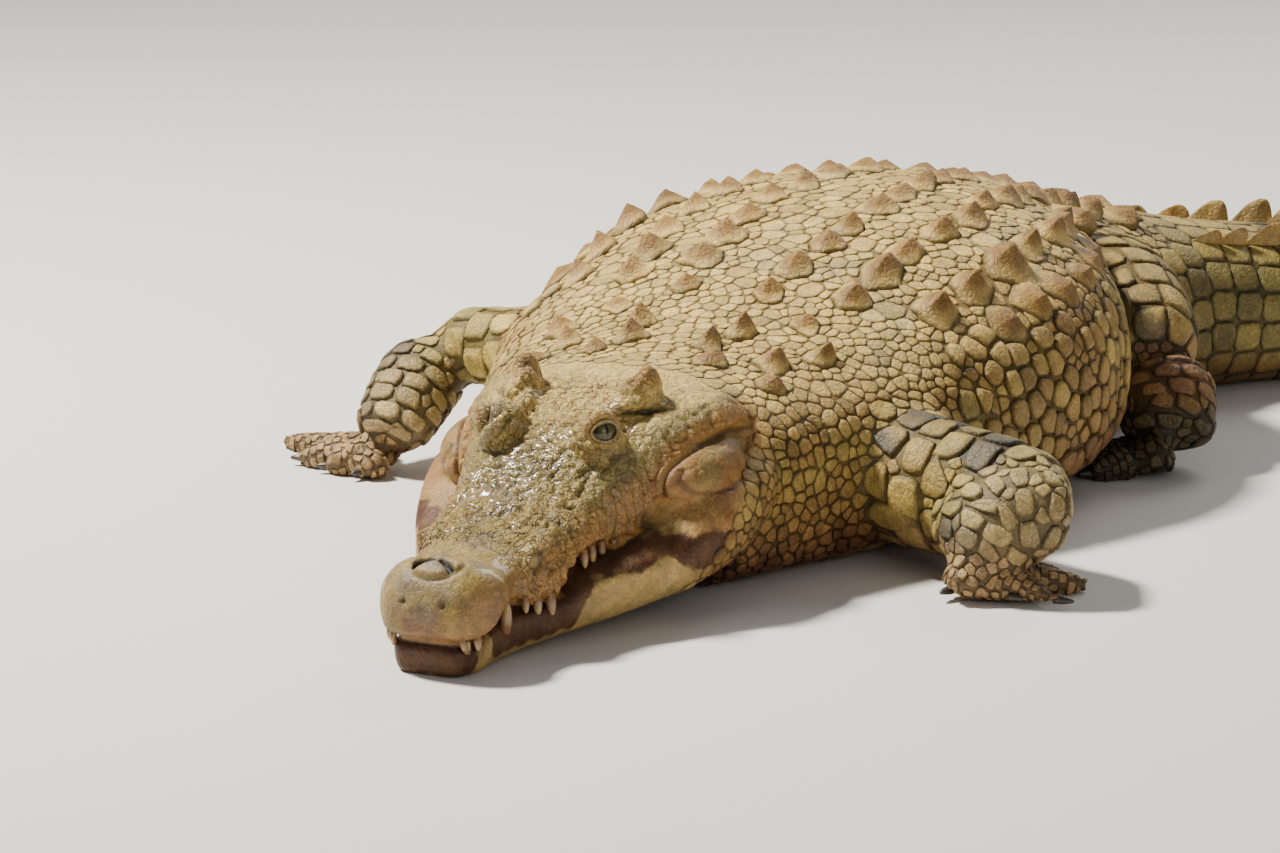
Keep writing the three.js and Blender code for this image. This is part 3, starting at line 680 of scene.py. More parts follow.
# The knotted edge of the upper lip.
lip_edge = on_head * bell(over, 0.008, 0.009) * smoothstep(0.02, 0.05, U) * fade(0.39, 0.42, U)
knots = np.sin(U * 1000 / 17 * 2 * np.pi + 2.5 * noise(h, 0.03, 51))
rise += lip_edge * (0.0020 + 0.0030 * knots * smoothstep(0.1, 0.2, U))
# Folds under the eye, parallel to the lip.
folds = np.sin((over * 1000 - 0.06 * U * 1000) / 15 * 2 * np.pi + 3.0 * noise(h, 0.05, 53))
rise += bone * 0.0013 * folds * bell(U, 0.33, 0.09) * smoothstep(0.02, 0.04, over) * smoothstep(0.07, 0.10, V)
# The slit over the ear, the rough bar under it and the bar's lower edge.
ear_line = 0.238 - 0.10 * (U - 0.40)
ear_span = smoothstep(0.392, 0.41, U) * fade(0.480, 0.50, U)
ear_span = ear_span * smoothstep(0.070, 0.085, V) * on_head
ear = ear_span * bell(Z, ear_line, 0.0032)
rise -= 0.007 * ear
rise += 0.004 * ear_span * bell(Z, ear_line + 0.011, 0.006)
bar = smoothstep(0.40, 0.44, U) * fade(0.59, 0.62, U) * smoothstep(0.0, 0.010, over)
bar = bar * fade(0.030, 0.044, over) * smoothstep(0.09, 0.11, V)
rise += 0.006 * bar + 0.0035 * bar * (billows(warp, 0.018, 15) - 0.3)
cheek = smoothstep(0.37, 0.40, U) * fade(0.60, 0.63, U) * smoothstep(0.09, 0.11, V)
rise += cheek * (0.003 * bell(over, 0.003, 0.004) - 0.0045 * bell(over, -0.004, 0.0040))
# The crease round the lower side of the jowl's muscle.
ring = jowl_ring(U, Z)
crease = bell(ring, 1.0, 0.055) * smoothstep(0.10, 0.12, V) * (over < -0.008) * (Z < 0.172)
rise += 0.0010 * cheek * np.clip(1 - ring ** 2, 0, 1) * (over < 0) - 0.0020 * crease
# The raised pad of the nose with its two nostrils, and two pits before it.
slit = np.zeros(len(h))
for pa, pb in NOSTRILS:
    slit = np.maximum(slit, bell(to_segment(U, V, pa, pb), 0, 0.0044) * (Z > 0.12))
disc = np.hypot((U - 0.050) / 0.027, h[:, 1] / 0.036)
pad = fade(0.88, 1.04, disc) * (Z > 0.11)
rise += (0.0022 + 0.0016 * bell(disc, 0.80, 0.16)) * pad - 0.012 * slit
rise -= 0.0045 * bell(np.hypot(V - 0.028, Z - 0.100), 0, 0.0042) * (U < 0.04)
rise -= 0.0016 * bell(disc, 1.09, 0.06) * (Z > 0.11)
skin_v = skin_v + normal * rise[:, None]
skin_v[:, 2] = np.maximum(skin_v[:, 2], GROUND)

# ---------- Colours, by place on the animal ----------
def nearest_station(p):
    """The spine station beside each point, and its height as a share of the back's there."""
    best = np.full(len(p), 9.0)
    station = np.zeros(len(p))
    for k in range(50, len(spine_s), 4):
        d = (p[:, 0] - spine_x[k]) ** 2 + (p[:, 1] - spine_y[k]) ** 2
        closer = d < best
        best = np.where(closer, d, best)
        station = np.where(closer, spine_s[k], station)
    return station, p[:, 2] / (along(BODY, 2, station * 1000) / 1000)


def mix(a, b, w):
    w = np.asarray(w)[:, None]
    return a * (1 - w) + b * w


def layered(p, base, *layers):
    """A base colour at every point, with each layer's tint mixed over it by the layer's weight."""
    colour = np.broadcast_to(base, p.shape)
    for tint, weight in layers:
        colour = mix(colour, tint, weight)
    return colour


DUST = np.array([0.690, 0.485, 0.150])
GREY_DUST = np.array([0.370, 0.300, 0.155])
SAND = np.array([0.430, 0.280, 0.078])
OCHRE = np.array([0.320, 0.178, 0.044])
OLIVE = np.array([0.200, 0.160, 0.046])
YELLOW = np.array([0.510, 0.380, 0.095])
SLATE = np.array([0.072, 0.066, 0.060])
BLACK = np.array([0.022, 0.020, 0.018])
RUST = np.array([0.215, 0.085, 0.030])
CREAM = np.array([0.440, 0.300, 0.100])
TAN = np.array([0.320, 0.150, 0.040])
HEAD_OLIVE = np.array([0.325, 0.225, 0.060])
SNOUT_GREY = np.array([0.215, 0.165, 0.095])
# mud for the jaw's stain; darker, the same colour is also painted shade along the mouth and the cheek's edge
MUD_AND_SHADE = np.array([0.070, 0.020, 0.006])
KEEL_BROWN = np.array([0.250, 0.120, 0.024])
FOREARM_BUFF = np.array([0.410, 0.300, 0.135])
HAND_BROWN = np.array([0.400, 0.240, 0.105])
SHANK_RED = np.array([0.300, 0.125, 0.042])
# painted shade for the hind legs' ankles and feet
ANKLE_SHADE = np.array([0.085, 0.068, 0.034])


def body_colour(p, limb):
    """Colour of neck, trunk, tail and legs at points p; limb is 1 on the legs."""
    s, share = nearest_station(p)
    n1, n2, n3 = octaves(p, 0.30, 61), octaves(p, 0.09, 67), octaves(p, 0.035, 71, 2)
    back = smoothstep(0.62, 0.90, share + 0.05 * n1 + 0.04 * n2)
    grey = smoothstep(0.15, 0.5, n2 + 0.4 * n3)
    low = fade(0.12, 0.34, share + 0.05 * n2)
    throat = fade(0.70, 0.86, s) * fade(0.30, 0.52, share + 0.05 * n2)
    tail = layered(
        p, OLIVE,
        (YELLOW, smoothstep(-0.5, 0.4, n2) * 0.85),
        (DUST * 0.85, smoothstep(0.75, 1.0, share) * 0.5),
        (RUST, low * 0.7))
    band = smoothstep(0.25, 0.50, np.sin((s - 2.0) * 2 * np.pi / 0.30 + 1.3 * n1) * 0.6 + 1.3 * n2)
    blotch = band * smoothstep(1.95, 2.25, s) * smoothstep(0.2, 0.40, share) * (1 - limb)
    y, z = p[:, 1], p[:, 2]
    hind = smoothstep(-0.30, -0.10, y)
    forearm = (1 - hind) * smoothstep(0.44, 0.50, np.abs(p[:, 0] + 0.03)) * fade(0.16, 0.20, z)
    foot = fade(0.035, 0.10, z)
    painted_ankle_shade = fade(0.085, 0.120, z + 0.02 * n2) * hind
    leg = layered(
        p, YELLOW,
        (OLIVE, smoothstep(-0.3, 0.4, n2)),
        (SAND * 0.95, smoothstep(-0.1, 0.4, n1) * 0.7),
        (SLATE, 0.80 * smoothstep(0.20, 0.40, n2 + 0.25 * n3)),
        (FOREARM_BUFF, 0.65 * forearm),
        # patchy slate on the hind legs, partly their own mottling and partly painted shade
        (SLATE, 0.70 * hind * smoothstep(0.0, 0.25, n2 + 0.4 * n3)),
        (SHANK_RED, 0.7 * hind * fade(0.16, 0.24, z + 0.06 * n1)),
        (HAND_BROWN, 0.75 * foot * (1 - hind)))
    # painted shade: the hind legs are darkened, and their ankles and feet much more
    leg = mix(leg * (1 - 0.18 * hind)[:, None], ANKLE_SHADE, 0.88 * painted_ankle_shade)
    colour = layered(
        p, OCHRE,
        (SAND, smoothstep(-0.5, 0.5, n2) * 0.9),
        (YELLOW * 0.95, 0.55 * bell(share, 0.55, 0.2) * smoothstep(-0.2, 0.4, n3)),
        (DUST, back * (0.86 + 0.14 * n2)),
        (OLIVE, 0.40 * smoothstep(0.0, 0.5, n1) * (1 - back)),
        (GREY_DUST, 0.45 * grey * back),
        (RUST, low * 0.75),
        # darker patches low on the neck, just behind the head
        (MUD_AND_SHADE * 1.35, 0.85 * throat * smoothstep(-0.25, 0.15, n2 + 0.5 * n3)),
        # the tail's colour, darkened as painted shade
        (tail * 0.80, smoothstep(1.85, 2.15, s) * (1 - limb)),
        (BLACK, blotch * 0.86),
        (leg, limb))
    return np.clip(colour * (1 + 0.16 * n3)[:, None], 0.004, 1)


# The stain of dried mud on the lower jaw: its lower and upper edges by distance from the tip, in mm.
STAIN_LOW = np.array([
    [0, 0], [32, 0], [42, 70], [58, 70], [70, 15], [205, 12], [222, 40], [240, 62], [305, 72],
    [345, 74], [362, 56], [405, 46], [440, 58], [462, 100],
], float)
STAIN_TOP = np.array([[0, 70], [200, 82], [345, 96], [386, 98], [449, 86], [470, 84]], float)


def head_colour(p):
    """Colour of the skull, the lower jaw and the jowl at points p."""
    h = head_coords(p)
    U, V, Z, over, ahead = head_zones(h)
    n1, n2, n3 = octaves(h, 0.12, 81), octaves(h, 0.04, 83), octaves(h, 0.012, 87, 2)
    crown = smoothstep(0.36, 0.46, U) * smoothstep(0.20, 0.235, Z)
    tip = fade(0.07, 0.13, U)
    lip = bell(over, 0.005, 0.010) * smoothstep(0.08, 0.16, U)
    front = bell(over, 0.0, 0.022) * fade(0.10, 0.16, U)
    skull = layered(
        p, HEAD_OLIVE,
        (SAND, smoothstep(-0.3, 0.5, n2 + 0.5 * n1) * 0.7),
        (DUST * 0.95, np.clip(crown * 0.78 + 0.28 * smoothstep(0.14, 0.2, Z), 0, 1)),
        (SNOUT_GREY, 0.75 * tip * smoothstep(-0.4, 0.3, n2)),
        (SLATE * 1.7, 0.45 * smoothstep(0.1, 0.5, n2 - 0.4 * n1) * (1 - crown)),
        (OLIVE * 1.1, bell(Z, 0.17, 0.04) * smoothstep(0.26, 0.34, U) * 0.6),
        (OLIVE * 0.8, 0.6 * bell(over, 0.022, 0.018) * smoothstep(0.40, 0.44, U)),
        (TAN * 1.25, lip * 0.8),
        (RUST * 1.15, 0.6 * front * smoothstep(-0.3, 0.2, n2 + h[:, 1] * 6)),
        (KEEL_BROWN * 1.1, 0.85 * bell(U, 0.480, 0.045) * smoothstep(0.250, 0.275, Z)))
    jowl = smoothstep(0.33, 0.44, U + 0.04 * n1) * smoothstep(0.055, 0.09, Z)
    sanded = smoothstep(0.1, 0.5, n2) * 0.2 + 0.6 * smoothstep(0.035, 0.0, ahead)
    jaw = layered(
        p, CREAM,
        (TAN, jowl * (0.75 + 0.25 * n2)),
        (SAND * 1.1, np.clip(sanded, 0, 0.8)))
    # painted shade: the lower jaw darkens towards the ground
    jaw = jaw * (0.84 + 0.16 * smoothstep(0.02, 0.06, Z))[:, None]
    ragged = Z * 1000 + 9 * n2 + 5 * n3
    low, top = along(STAIN_LOW, 1, U * 1000 + 8 * n2), along(STAIN_TOP, 1, U * 1000)
    stain = smoothstep(low - 3, low + 3, ragged) * fade(top - 3, top + 3, ragged)
    stain = stain * fade(0.45, 0.465, U + 0.01 * n2)
    mouth = smoothstep(-0.030, -0.006, over) * fade(0.36, 0.42, U)
    corner = smoothstep(0.36, 0.39, U) * bell(over, -0.005, 0.004) * fade(0.59, 0.62, U)
    jaw = layered(
        p, jaw,
        (OLIVE * 0.95, 0.70 * fade(0.45, 1.0, jowl_ring(U, Z) + 0.30 * n2)),
        (RUST * 1.6, 0.55 * smoothstep(-0.1, 0.4, n2 - 0.3 * n1) * jowl),
        (MUD_AND_SHADE, np.clip(stain * (0.93 + 0.12 * n3), 0, 1)),
        # painted shade: darker along the mouth line under the upper lip, and in the groove under the cheek's
        # edge
        (MUD_AND_SHADE * 0.55, mouth * 0.9),
        (MUD_AND_SHADE * 0.8, 0.7 * corner))
    colour = mix(skull, jaw, fade(-0.005, 0.0, over))
    return np.clip(colour * (1 + 0.12 * n3)[:, None], 0.004, 1)


def hide_colour(p, limb):
    ahead = head_zones(head_coords(p))[4] + 0.008 * octaves(p, 0.03, 91)
    return mix(body_colour(p, limb), head_colour(p), smoothstep(-0.006, 0.010, ahead) * (1 - limb))


# ---------- Scale seeds ----------
seed_rows = []


def sow(**values):
    """Adds roots of scales: place p, normal n, direction d towards the tail or toes, size, height, keel,
    squareness (power), gap, tilt, group, place on the unwrap (uv), limb (1 on a leg), and the length of a
    straight row (brick, 0 where rows are loose)."""
    count = len(values["p"])
    arrays = {k: np.asarray(v, float) for k, v in values.items()}
    seed_rows.append({k: v if v.ndim else np.full(count, v) for k, v in arrays.items()})


def lattice(surface, start, end, row, column, t0=-1.0, t1=1.0, jitter=0.2, stagger=0.5):
    """Stations and shares of the girth for rows of scales; row and column give sizes at a station."""
    out_s, out_t, s, k = [], [], start, 0
    while s < end:
        arc = surface.half_girth(s) * (t1 - t0)
        count = max(int(round(arc / column(s))), 1)
        t = t0 + (np.arange(count) + 0.5 + (stagger * (k % 2) - stagger / 2)) / count * (t1 - t0)
        out_t.append(t + RNG.uniform(-1, 1, count) * jitter * (t1 - t0) / count)
        out_s.append(s + RNG.uniform(-1, 1, count) * jitter * row(s))
        s += row(s)
        k += 1
    return np.concatenate(out_s), np.concatenate(out_t)


# Each group of scales is one piece: its name's end and its material slot.
GROUPS = [
    ("neck", "body_scales"), ("back", "body_scales"), ("flank_left", "body_scales"),
    ("flank_right", "body_scales"), ("belly", "body_scales"), ("tail", "tail_scales"),
    ("fore_left", "leg_scales"), ("fore_right", "leg_scales"), ("hind_left", "leg_scales"),
    ("hind_right", "leg_scales"),
]
LIMB_GROUPS = {"left_fore": 6, "right_fore": 7, "left_hind": 8, "right_hind": 9}


def body_seeds(s, t, size, high, keel=0.0, power=8.0, gap=0.003, tilt=0.0, brick=0.0, limb=0.0):
    """Scales of neck, trunk and tail at stations s and shares t of the half girth."""
    p, d, _, n = BODY_SURFACE.frame(s, t)
    side = np.where(np.abs(t) < 0.27, 1, np.where(np.abs(t) > 0.74, 4, np.where(t > 0, 2, 3)))
    group = np.where(s < 0.84, 0, np.where(s > 2.02, 5, side))
    uv = np.stack([0.02 + 0.96 * s / LENGTH, 0.25 + 0.24 * t * BODY_SURFACE.half_girth(s) / 1.3], -1)
    sow(p=p, n=n, d=d, size=size, high=high, keel=keel, power=power, gap=gap, tilt=tilt, group=group, uv=uv,
        limb=limb, brick=brick)


def constant(x):
    return lambda s: x


# Neck: small cracked scales.
s, t = lattice(BODY_SURFACE, 0.60, 0.95, constant(0.021), constant(0.024), jitter=0.36)
plain = (s < 0.75) | (t < 0.41) | (t > 0.81)
s, t = s[plain], t[plain]
on_top = np.abs(t) < 0.35
body_seeds(s, t, 0.023 * RNG.uniform(0.7, 1.3, len(s)), np.where(on_top, 0.0020, 0.0042), power=13,
           gap=np.where(on_top, 0.0009, 0.0018))
# Back: irregular flat scutes.
s, t = lattice(BODY_SURFACE, 0.95, 2.02, constant(0.031), constant(0.036), -0.30, 0.30, jitter=0.32)
body_seeds(s, t, 0.034 * RNG.uniform(0.65, 1.35, len(s)), 0.0022, power=16, gap=0.0009)
# Flanks: bulging oval scales in rows, with smaller ones among them.
for side in (1, -1):
    s, t = lattice(BODY_SURFACE, 0.97, 2.02, constant(0.034), constant(0.041), 0.30, 0.76, jitter=0.13,
                   stagger=0.3)
    big = RNG.uniform(0, 1, len(s)) < 0.86
    size = np.where(big, 0.041, 0.024) * RNG.uniform(0.9, 1.1, len(s))
    body_seeds(s, side * t, size, np.where(big, 0.0080, 0.0045), power=8, gap=0.0022)
# The left shoulder's large plates, where the raised arm draws the hide tight.
s, t = lattice(BODY_SURFACE, 0.77, 0.97, constant(0.042), constant(0.048), 0.42, 0.80, jitter=0.05)
body_seeds(s, t, 0.050, 0.0040, power=14, gap=0.0014, brick=0.042, limb=1.0)
# Belly: square scales in even rows.
s, t = lattice(BODY_SURFACE, 0.95, 2.02, constant(0.036), constant(0.034), 0.74, 1.26, jitter=0.05, stagger=0)
body_seeds(s, t, 0.036, 0.003, power=18, gap=0.0012)
# Tail: rings of rectangular scutes.
s, t = lattice(BODY_SURFACE, 2.03, 4.18, lambda s: 0.062 - 0.016 * (s - 2.0),
               lambda s: 0.052 - 0.015 * (s - 2.0), jitter=0.04, stagger=0)
body_seeds(s, t, 0.062 - 0.018 * (s - 2.0), 0.0045 - 0.0013 * (s - 2.0), power=20, gap=0.0016, tilt=0.15)

# Keeled scutes of the nape: station in mm, angle from the top in degrees, keel height in mm.
NUCHAL = [
    (735, 10, 26), (735, 30, 22), (805, 12, 28), (805, 36, 22), (680, 17, 13), (680, 40, 11), (868, 22, 10),
]
# Rows of keels along the back: angle in degrees, first and last station, keel height and spacing in mm.
KEEL_ROWS = [
    (9, 930, 2040, 18, 78), (25, 960, 1980, 22, 84), (42, 1010, 1780, 27, 98), (57, 1090, 1600, 12, 88),
]
keels = [(s, side * a, k) for s, a, k in NUCHAL for side in (1, -1)]
for a, first, last, k, step in KEEL_ROWS:
    for s in np.arange(first, last, step):
        for side in (1, -1):
            place = (s + RNG.uniform(-6, 6), side * (a + RNG.uniform(-1.2, 1.2)))
            keels.append((*place, k * RNG.uniform(0.75, 1.15)))
keels = np.array(keels)
keel_s, keel_high = keels[:, 0] / 1000, keels[:, 2] / 1000
keel_t = np.empty(len(keels))
for i, a in enumerate(keels[:, 1]):
    row = int(round((keel_s[i] - BODY_START) / (LENGTH - BODY_START) * (len(BODY_SURFACE.s) - 1)))
    keel_t[i] = np.interp(math.radians(a), BODY_SURFACE.angle[row], BODY_SURFACE.t)
body_seeds(keel_s, keel_t, 0.056 + 0.9 * keel_high, 0.0040, keel=keel_high, power=11, gap=0.0014)

# Legs: rows of overlapping scales that get smaller to the toes. By length of the leg: the rows' and columns'
# spacing, size, height and gap, and where its patch of the unwrap starts.
LEG_SCALES = {
    "upper": (0.0460, 0.058, 0.054, 0.0036, 0.0010, 0.0),
    "lower": (0.0230, 0.048, 0.034, 0.0034, 0.0008, 0.25),
    "palm": (0.0155, 0.028, 0.020, 0.0024, 0.0008, 0.42),
    "digit": (0.0120, 0.020, 0.014, 0.0020, 0.0007, 0.5),
}
for (key, part), surface in limb_surfaces.items():
    row, column, size, high, gap, offset = LEG_SCALES[part.rstrip("12345")]
    if part.startswith("digit"):
        offset += 0.08 * (int(part[-1]) - 1)
    s, t = lattice(surface, row * 0.5, surface.length, constant(row), constant(column), jitter=0.05)
    p, d, _, n = surface.frame(s, t)
    index = LIMB_GROUPS[key]
    v0 = 0.52 + 0.12 * (index - 6)
    uv = np.stack([0.02 + offset + 0.5 * s, v0 + 0.055 + 0.2 * t * surface.half_girth(s)], -1)
    sow(p=p, n=n, d=d, size=size, high=high, keel=0.0, power=16.0, gap=gap, tilt=0.70, group=index, uv=uv,
        limb=1.0, brick=row)

seed = {k: np.concatenate([row[k] for row in seed_rows]) for k in seed_rows[0]}
print("seeds", len(seed["p"]), flush=True)

# ---------- Seeds settle on the skin ----------
def tree_of(v, f):
    return BVHTree.FromPolygons(v.tolist(), [q for block in by_corners(f) for q in block.tolist()])


skin_tree = tree_of(skin_v, skin_f)
skin_normal = normals_of(skin_v, skin_f)


def settled(p):
    """The nearest points of the skin, their normals and their distances."""
    place, normal, far = np.empty_like(p), np.empty_like(p), np.empty(len(p))
    for i, q in enumerate(p):
        co, no, _, d = skin_tree.find_nearest(q)
        place[i], normal[i], far[i] = co, no, d
    return place, normal, far


place, normal, far = settled(seed["p"])
facing = (normal * seed["n"]).sum(1)
inside = ((seed["p"] - place) * normal).sum(1)
in_head = head_zones(head_coords(place))[4] > 0.004
keep = (far < 0.022) & (facing > 0.55) & (inside > -0.014) & ~in_head & (place[:, 2] > 0.002)
seed = {k: v[keep] for k, v in seed.items()}
seed["p"] = place[keep]
seed["n"] = unit(normal[keep] + 0.5 * seed["n"])


def nearest(p, q, reach):
    """For each p, the indices and distances of the nearest points of q, as many as reach says."""
    tree = KDTree(len(q))
    for i, c in enumerate(q):
        tree.insert(c, i)
    tree.balance()
    found = np.zeros((len(p), reach), int)
    gap = np.full((len(p), reach), 9.0)
    for i, c in enumerate(p):
        hits = tree.find_n(c, reach)
        for j, (_, index, d) in enumerate(hits):
            found[i, j], gap[i, j] = index, d
    return found, gap


def thinned(seed):
    """Drops the smaller of two scales whose roots crowd each other; keels always stay."""
    found, gap = nearest(seed["p"], seed["p"], 12)
    to = seed["p"][found] - seed["p"][:, None]
    lengthwise = (to * seed["d"][found]).sum(-1)
    keeled = seed["keel"] > 0
    spot = np.where(keeled[:, None], gap, np.sqrt(np.maximum(gap ** 2 - 0.48 * lengthwise ** 2, 0)))
    gap = np.where(keeled[found], spot, gap)
    crowd = np.where(keeled[found] & ~keeled[:, None], 0.38, 0.288)
    crowd = np.where((seed["brick"][found] > 0.04) & (seed["brick"][:, None] > 0.04), 0.40, crowd)
    rank = seed["size"] + 10 * keeled + 1e-5 * np.arange(len(keeled)) / len(keeled)
    alive = np.ones(len(rank), bool)
    for i in np.argsort(rank):
        near = gap[i] < crowd[i] * (seed["size"][i] + seed["size"][found[i]])
        for j in found[i][near]:
            if j != i and alive[j] and rank[j] > rank[i]:
                alive[i] = False
                break
    return {k: v[alive] for k, v in seed.items()}


seed = thinned(seed)
print("settled", len(seed["p"]), flush=True)

# Bare places, such as the folds where the legs join, are filled with small scales.
TRIED = 90000  # points of the skin that are tried
FILLER_APART = 0.0145
FILLER_CELL = 0.015
FILLER = {"size": 0.018, "high": 0.0026, "keel": 0.0, "power": 12.0, "gap": 0.0013, "brick": 0.0, "tilt": 0.0}
order = RNG.permutation(len(skin_v))[:TRIED]
free = order[(head_zones(head_coords(skin_v[order]))[4] < 0.002) & (skin_v[order][:, 2] > 0.004)]
found, gap = nearest(skin_v[free], seed["p"], 1)
reach = np.maximum(0.55 * seed["size"][found[:, 0]], 0.011)
open_spots = free[gap[:, 0] > reach * 1.25]
chosen = []
taken = {}
for i in open_spots:
    c = skin_v[i]
    x, y, z = np.floor(c / FILLER_CELL).astype(int)
    near = [taken.get((x + a, y + b, z + e), ()) for a in (-1, 0, 1) for b in (-1, 0, 1) for e in (-1, 0, 1)]
    if all(np.linalg.norm(skin_v[j] - c) > FILLER_APART for block in near for j in block):
        chosen.append(i)
        taken.setdefault((x, y, z), []).append(i)
chosen = np.array(chosen, int)
host = nearest(skin_v[chosen], seed["p"], 1)[0][:, 0]
extra = {k: v[host].copy() for k, v in seed.items()}
delta = skin_v[chosen] - seed["p"][host]
extra["p"], extra["n"] = skin_v[chosen], skin_normal[chosen]
sideways = np.cross(extra["n"], extra["d"])
extra["uv"] += np.stack([(delta * extra["d"]).sum(1), (delta * sideways).sum(1)], -1) * HIDE_UNWRAP
extra.update({k: np.full(len(chosen), v) for k, v in FILLER.items()})
seed = {k: np.concatenate([seed[k], extra[k]]) for k in seed}
print("filled", len(chosen), flush=True)

# ---------- Scales ----------
SPOKES, KEEL_SPOKES = 14, 28
NEIGHBOURS = 12
# Rings from rim to crown: share of the radius, share of the height; the first is sunk in the skin.
RINGS = np.array([[1.0, -0.6], [1.0, 0.30], [0.92, 0.72], [0.72, 0.93], [0.42, 1.0]])
KEEL_RINGS = np.array([
    [1.0, -0.6], [1.0, 0.5], [0.93, 0.8], [0.82, 0.9], [0.68, 1], [0.54, 1], [0.40, 1], [0.26, 1], [0.12, 1],
])


def cell_radii(seed, spokes):
    """How far each scale reaches in each direction of its tangent plane, between its neighbours."""
    found, gap = nearest(seed["p"], seed["p"], NEIGHBOURS)
    n = unit(seed["n"])
    d = unit(seed["d"] - n * (seed["d"] * n).sum(1)[:, None])
    b = np.cross(n, d)
    to = seed["p"][found] - seed["p"][:, None]
    x, y = (to * d[:, None]).sum(-1), (to * b[:, None]).sum(-1)
    real = (found != np.arange(len(n))[:, None]) & (gap < 8)
    # in bricked rows the next row is a straight border
    row = seed["brick"][:, None]
    next_row = (row > 0) & (np.abs(x) > 0.55 * row) & (np.abs(y) < 1.4 * row)
    y = np.where(next_row, 0.12 * y, y)
    length = np.maximum(np.hypot(x, y), 1e-5)
    share = seed["size"][:, None] / (seed["size"][:, None] + seed["size"][found])
    half = np.maximum(length * share - seed["gap"][:, None] / 2, 0.002)
    phi = np.arange(spokes) / spokes * 2 * np.pi
    c = np.maximum(np.cos(phi) * (x / length)[..., None] + np.sin(phi) * (y / length)[..., None], 0)
    power = seed["power"][:, None, None]
    pull = np.where(real[..., None], (c / half[..., None]) ** power, 0).sum(1)
    radius = np.maximum(pull, 1e-30) ** (-1 / power[:, 0])
    limit = np.maximum(np.where(seed["brick"] > 0.02, 1.35, 1.0) * seed["size"], 0.009)
    return np.minimum(radius, limit[:, None]), d, b, n


def build_scales(seed, radius, d, b, n, rings):
    """Closed meshes of scales: points by scale, one scale's faces and rim share, and local points."""
    count, m, k = len(radius), radius.shape[1], len(rings)
    phi = np.arange(m) / m * 2 * np.pi
    radius = radius * (1 + 0.025 * RNG.standard_normal((count, m)))
    x = radius[:, None] * rings[None, :, :1] * np.cos(phi)
    y = radius[:, None] * rings[None, :, :1] * np.sin(phi)
    mean = radius.mean(1)[:, None, None]
    x = np.where(x > 0, x * (1 + 0.16 * seed["tilt"][:, None, None]), x)
    high = seed["high"] * RNG.uniform(0.75, 1.25, count)
    z = rings[None, :, 1:] * high[:, None, None] * np.ones((1, 1, m))
    slope = seed["tilt"][:, None, None] * high[:, None, None] * (x / mean + 1) * 0.55
    z = z + np.where(rings[None, :, 1:] > 0, slope, 0)
    z[:, 0] -= 0.0012
    # the keel: a ridge along the scale that is highest towards its rear and steep behind
    ridge = seed["keel"][:, None, None]
    reach = np.where(x > 0, radius[:, :1, None], radius[:, m // 2, None, None])
    way = x / reach
    climb = np.clip((way + 0.95) / 0.75, 0, 1) ** 0.8 * (0.74 + 0.26 * np.clip((way + 0.30) / 0.72, 0, 1))
    climb = np.minimum(climb, np.clip((0.95 - way) / 0.42, 0, 1) ** 0.8)
    breadth = (0.45 * (radius[:, m // 4] + radius[:, 3 * m // 4]))[:, None, None]
    z = z + ridge * climb * np.clip(1 - np.abs(y) / breadth, 0, 1) ** 0.9 * (rings[None, :, 1:] > 0.4)
    top = high + seed["keel"] * (0.74 + 0.26 * 0.30 / 0.72)
    local = np.stack([x, y, z], -1).reshape(count, k * m, 3)
    local = np.concatenate([local, np.stack([np.zeros(count), np.zeros(count), top], -1)[:, None]], 1)
    flat = seed["p"][:, None] + d[:, None] * local[..., :1] + b[:, None] * local[..., 1:2]
    # the rim follows the skin, and the rings inside it follow the rim, less and less towards the crown
    rim = flat[:, m:2 * m].reshape(-1, 3)
    lift = ((settled(rim)[0] - rim) * np.repeat(n, m, 0)).sum(1).reshape(count, m)
    lift = np.clip(lift, -0.014, 0.014)
    share = np.concatenate([np.repeat(rings[:, 0], m), [0.0]])
    bend = np.concatenate([np.tile(lift, (1, k)), np.zeros((count, 1))], 1) * share[None] ** 2
    points = flat + n[:, None] * (local[..., 2:] + bend[..., None])
    points[..., 2] = np.maximum(points[..., 2], 0.0)
    i = np.arange(m)
    j = (i + 1) % m
    band = np.stack([i, j, m + j, m + i], -1)
    quads = np.concatenate([r * m + band for r in range(k - 1)])
    crown = np.stack([(k - 1) * m + i, (k - 1) * m + j, np.full(m, k * m)], -1)
    return points, (quads, crown, i[::-1][None]), share, local


tone = RNG.uniform(0.74, 1.18, len(seed["p"]))
cells_by_spokes = {spokes: cell_radii(seed, spokes) for spokes in (SPOKES, KEEL_SPOKES)}


def color_layer(mesh, name, values):
    layer = mesh.attributes.new(name, "FLOAT_COLOR", "POINT")
    full = np.ones((len(values), 4), np.float32)
    full[:, :3] = values
    layer.data.foreach_set("color", full.ravel())


def float_layer(mesh, name, values):
    layer = mesh.attributes.new(name, "FLOAT", "POINT")
    layer.data.foreach_set("value", np.asarray(values, np.float32))


def uv_layer(mesh, uv):
    """The unwrap of the hide, by point."""
    layer = mesh.uv_layers.new(name="OFBake")
    index = np.empty(len(mesh.loops), np.int32)
    mesh.loops.foreach_get("vertex_index", index)
    layer.data.foreach_set("uv", np.asarray(uv[index], np.float32).ravel())


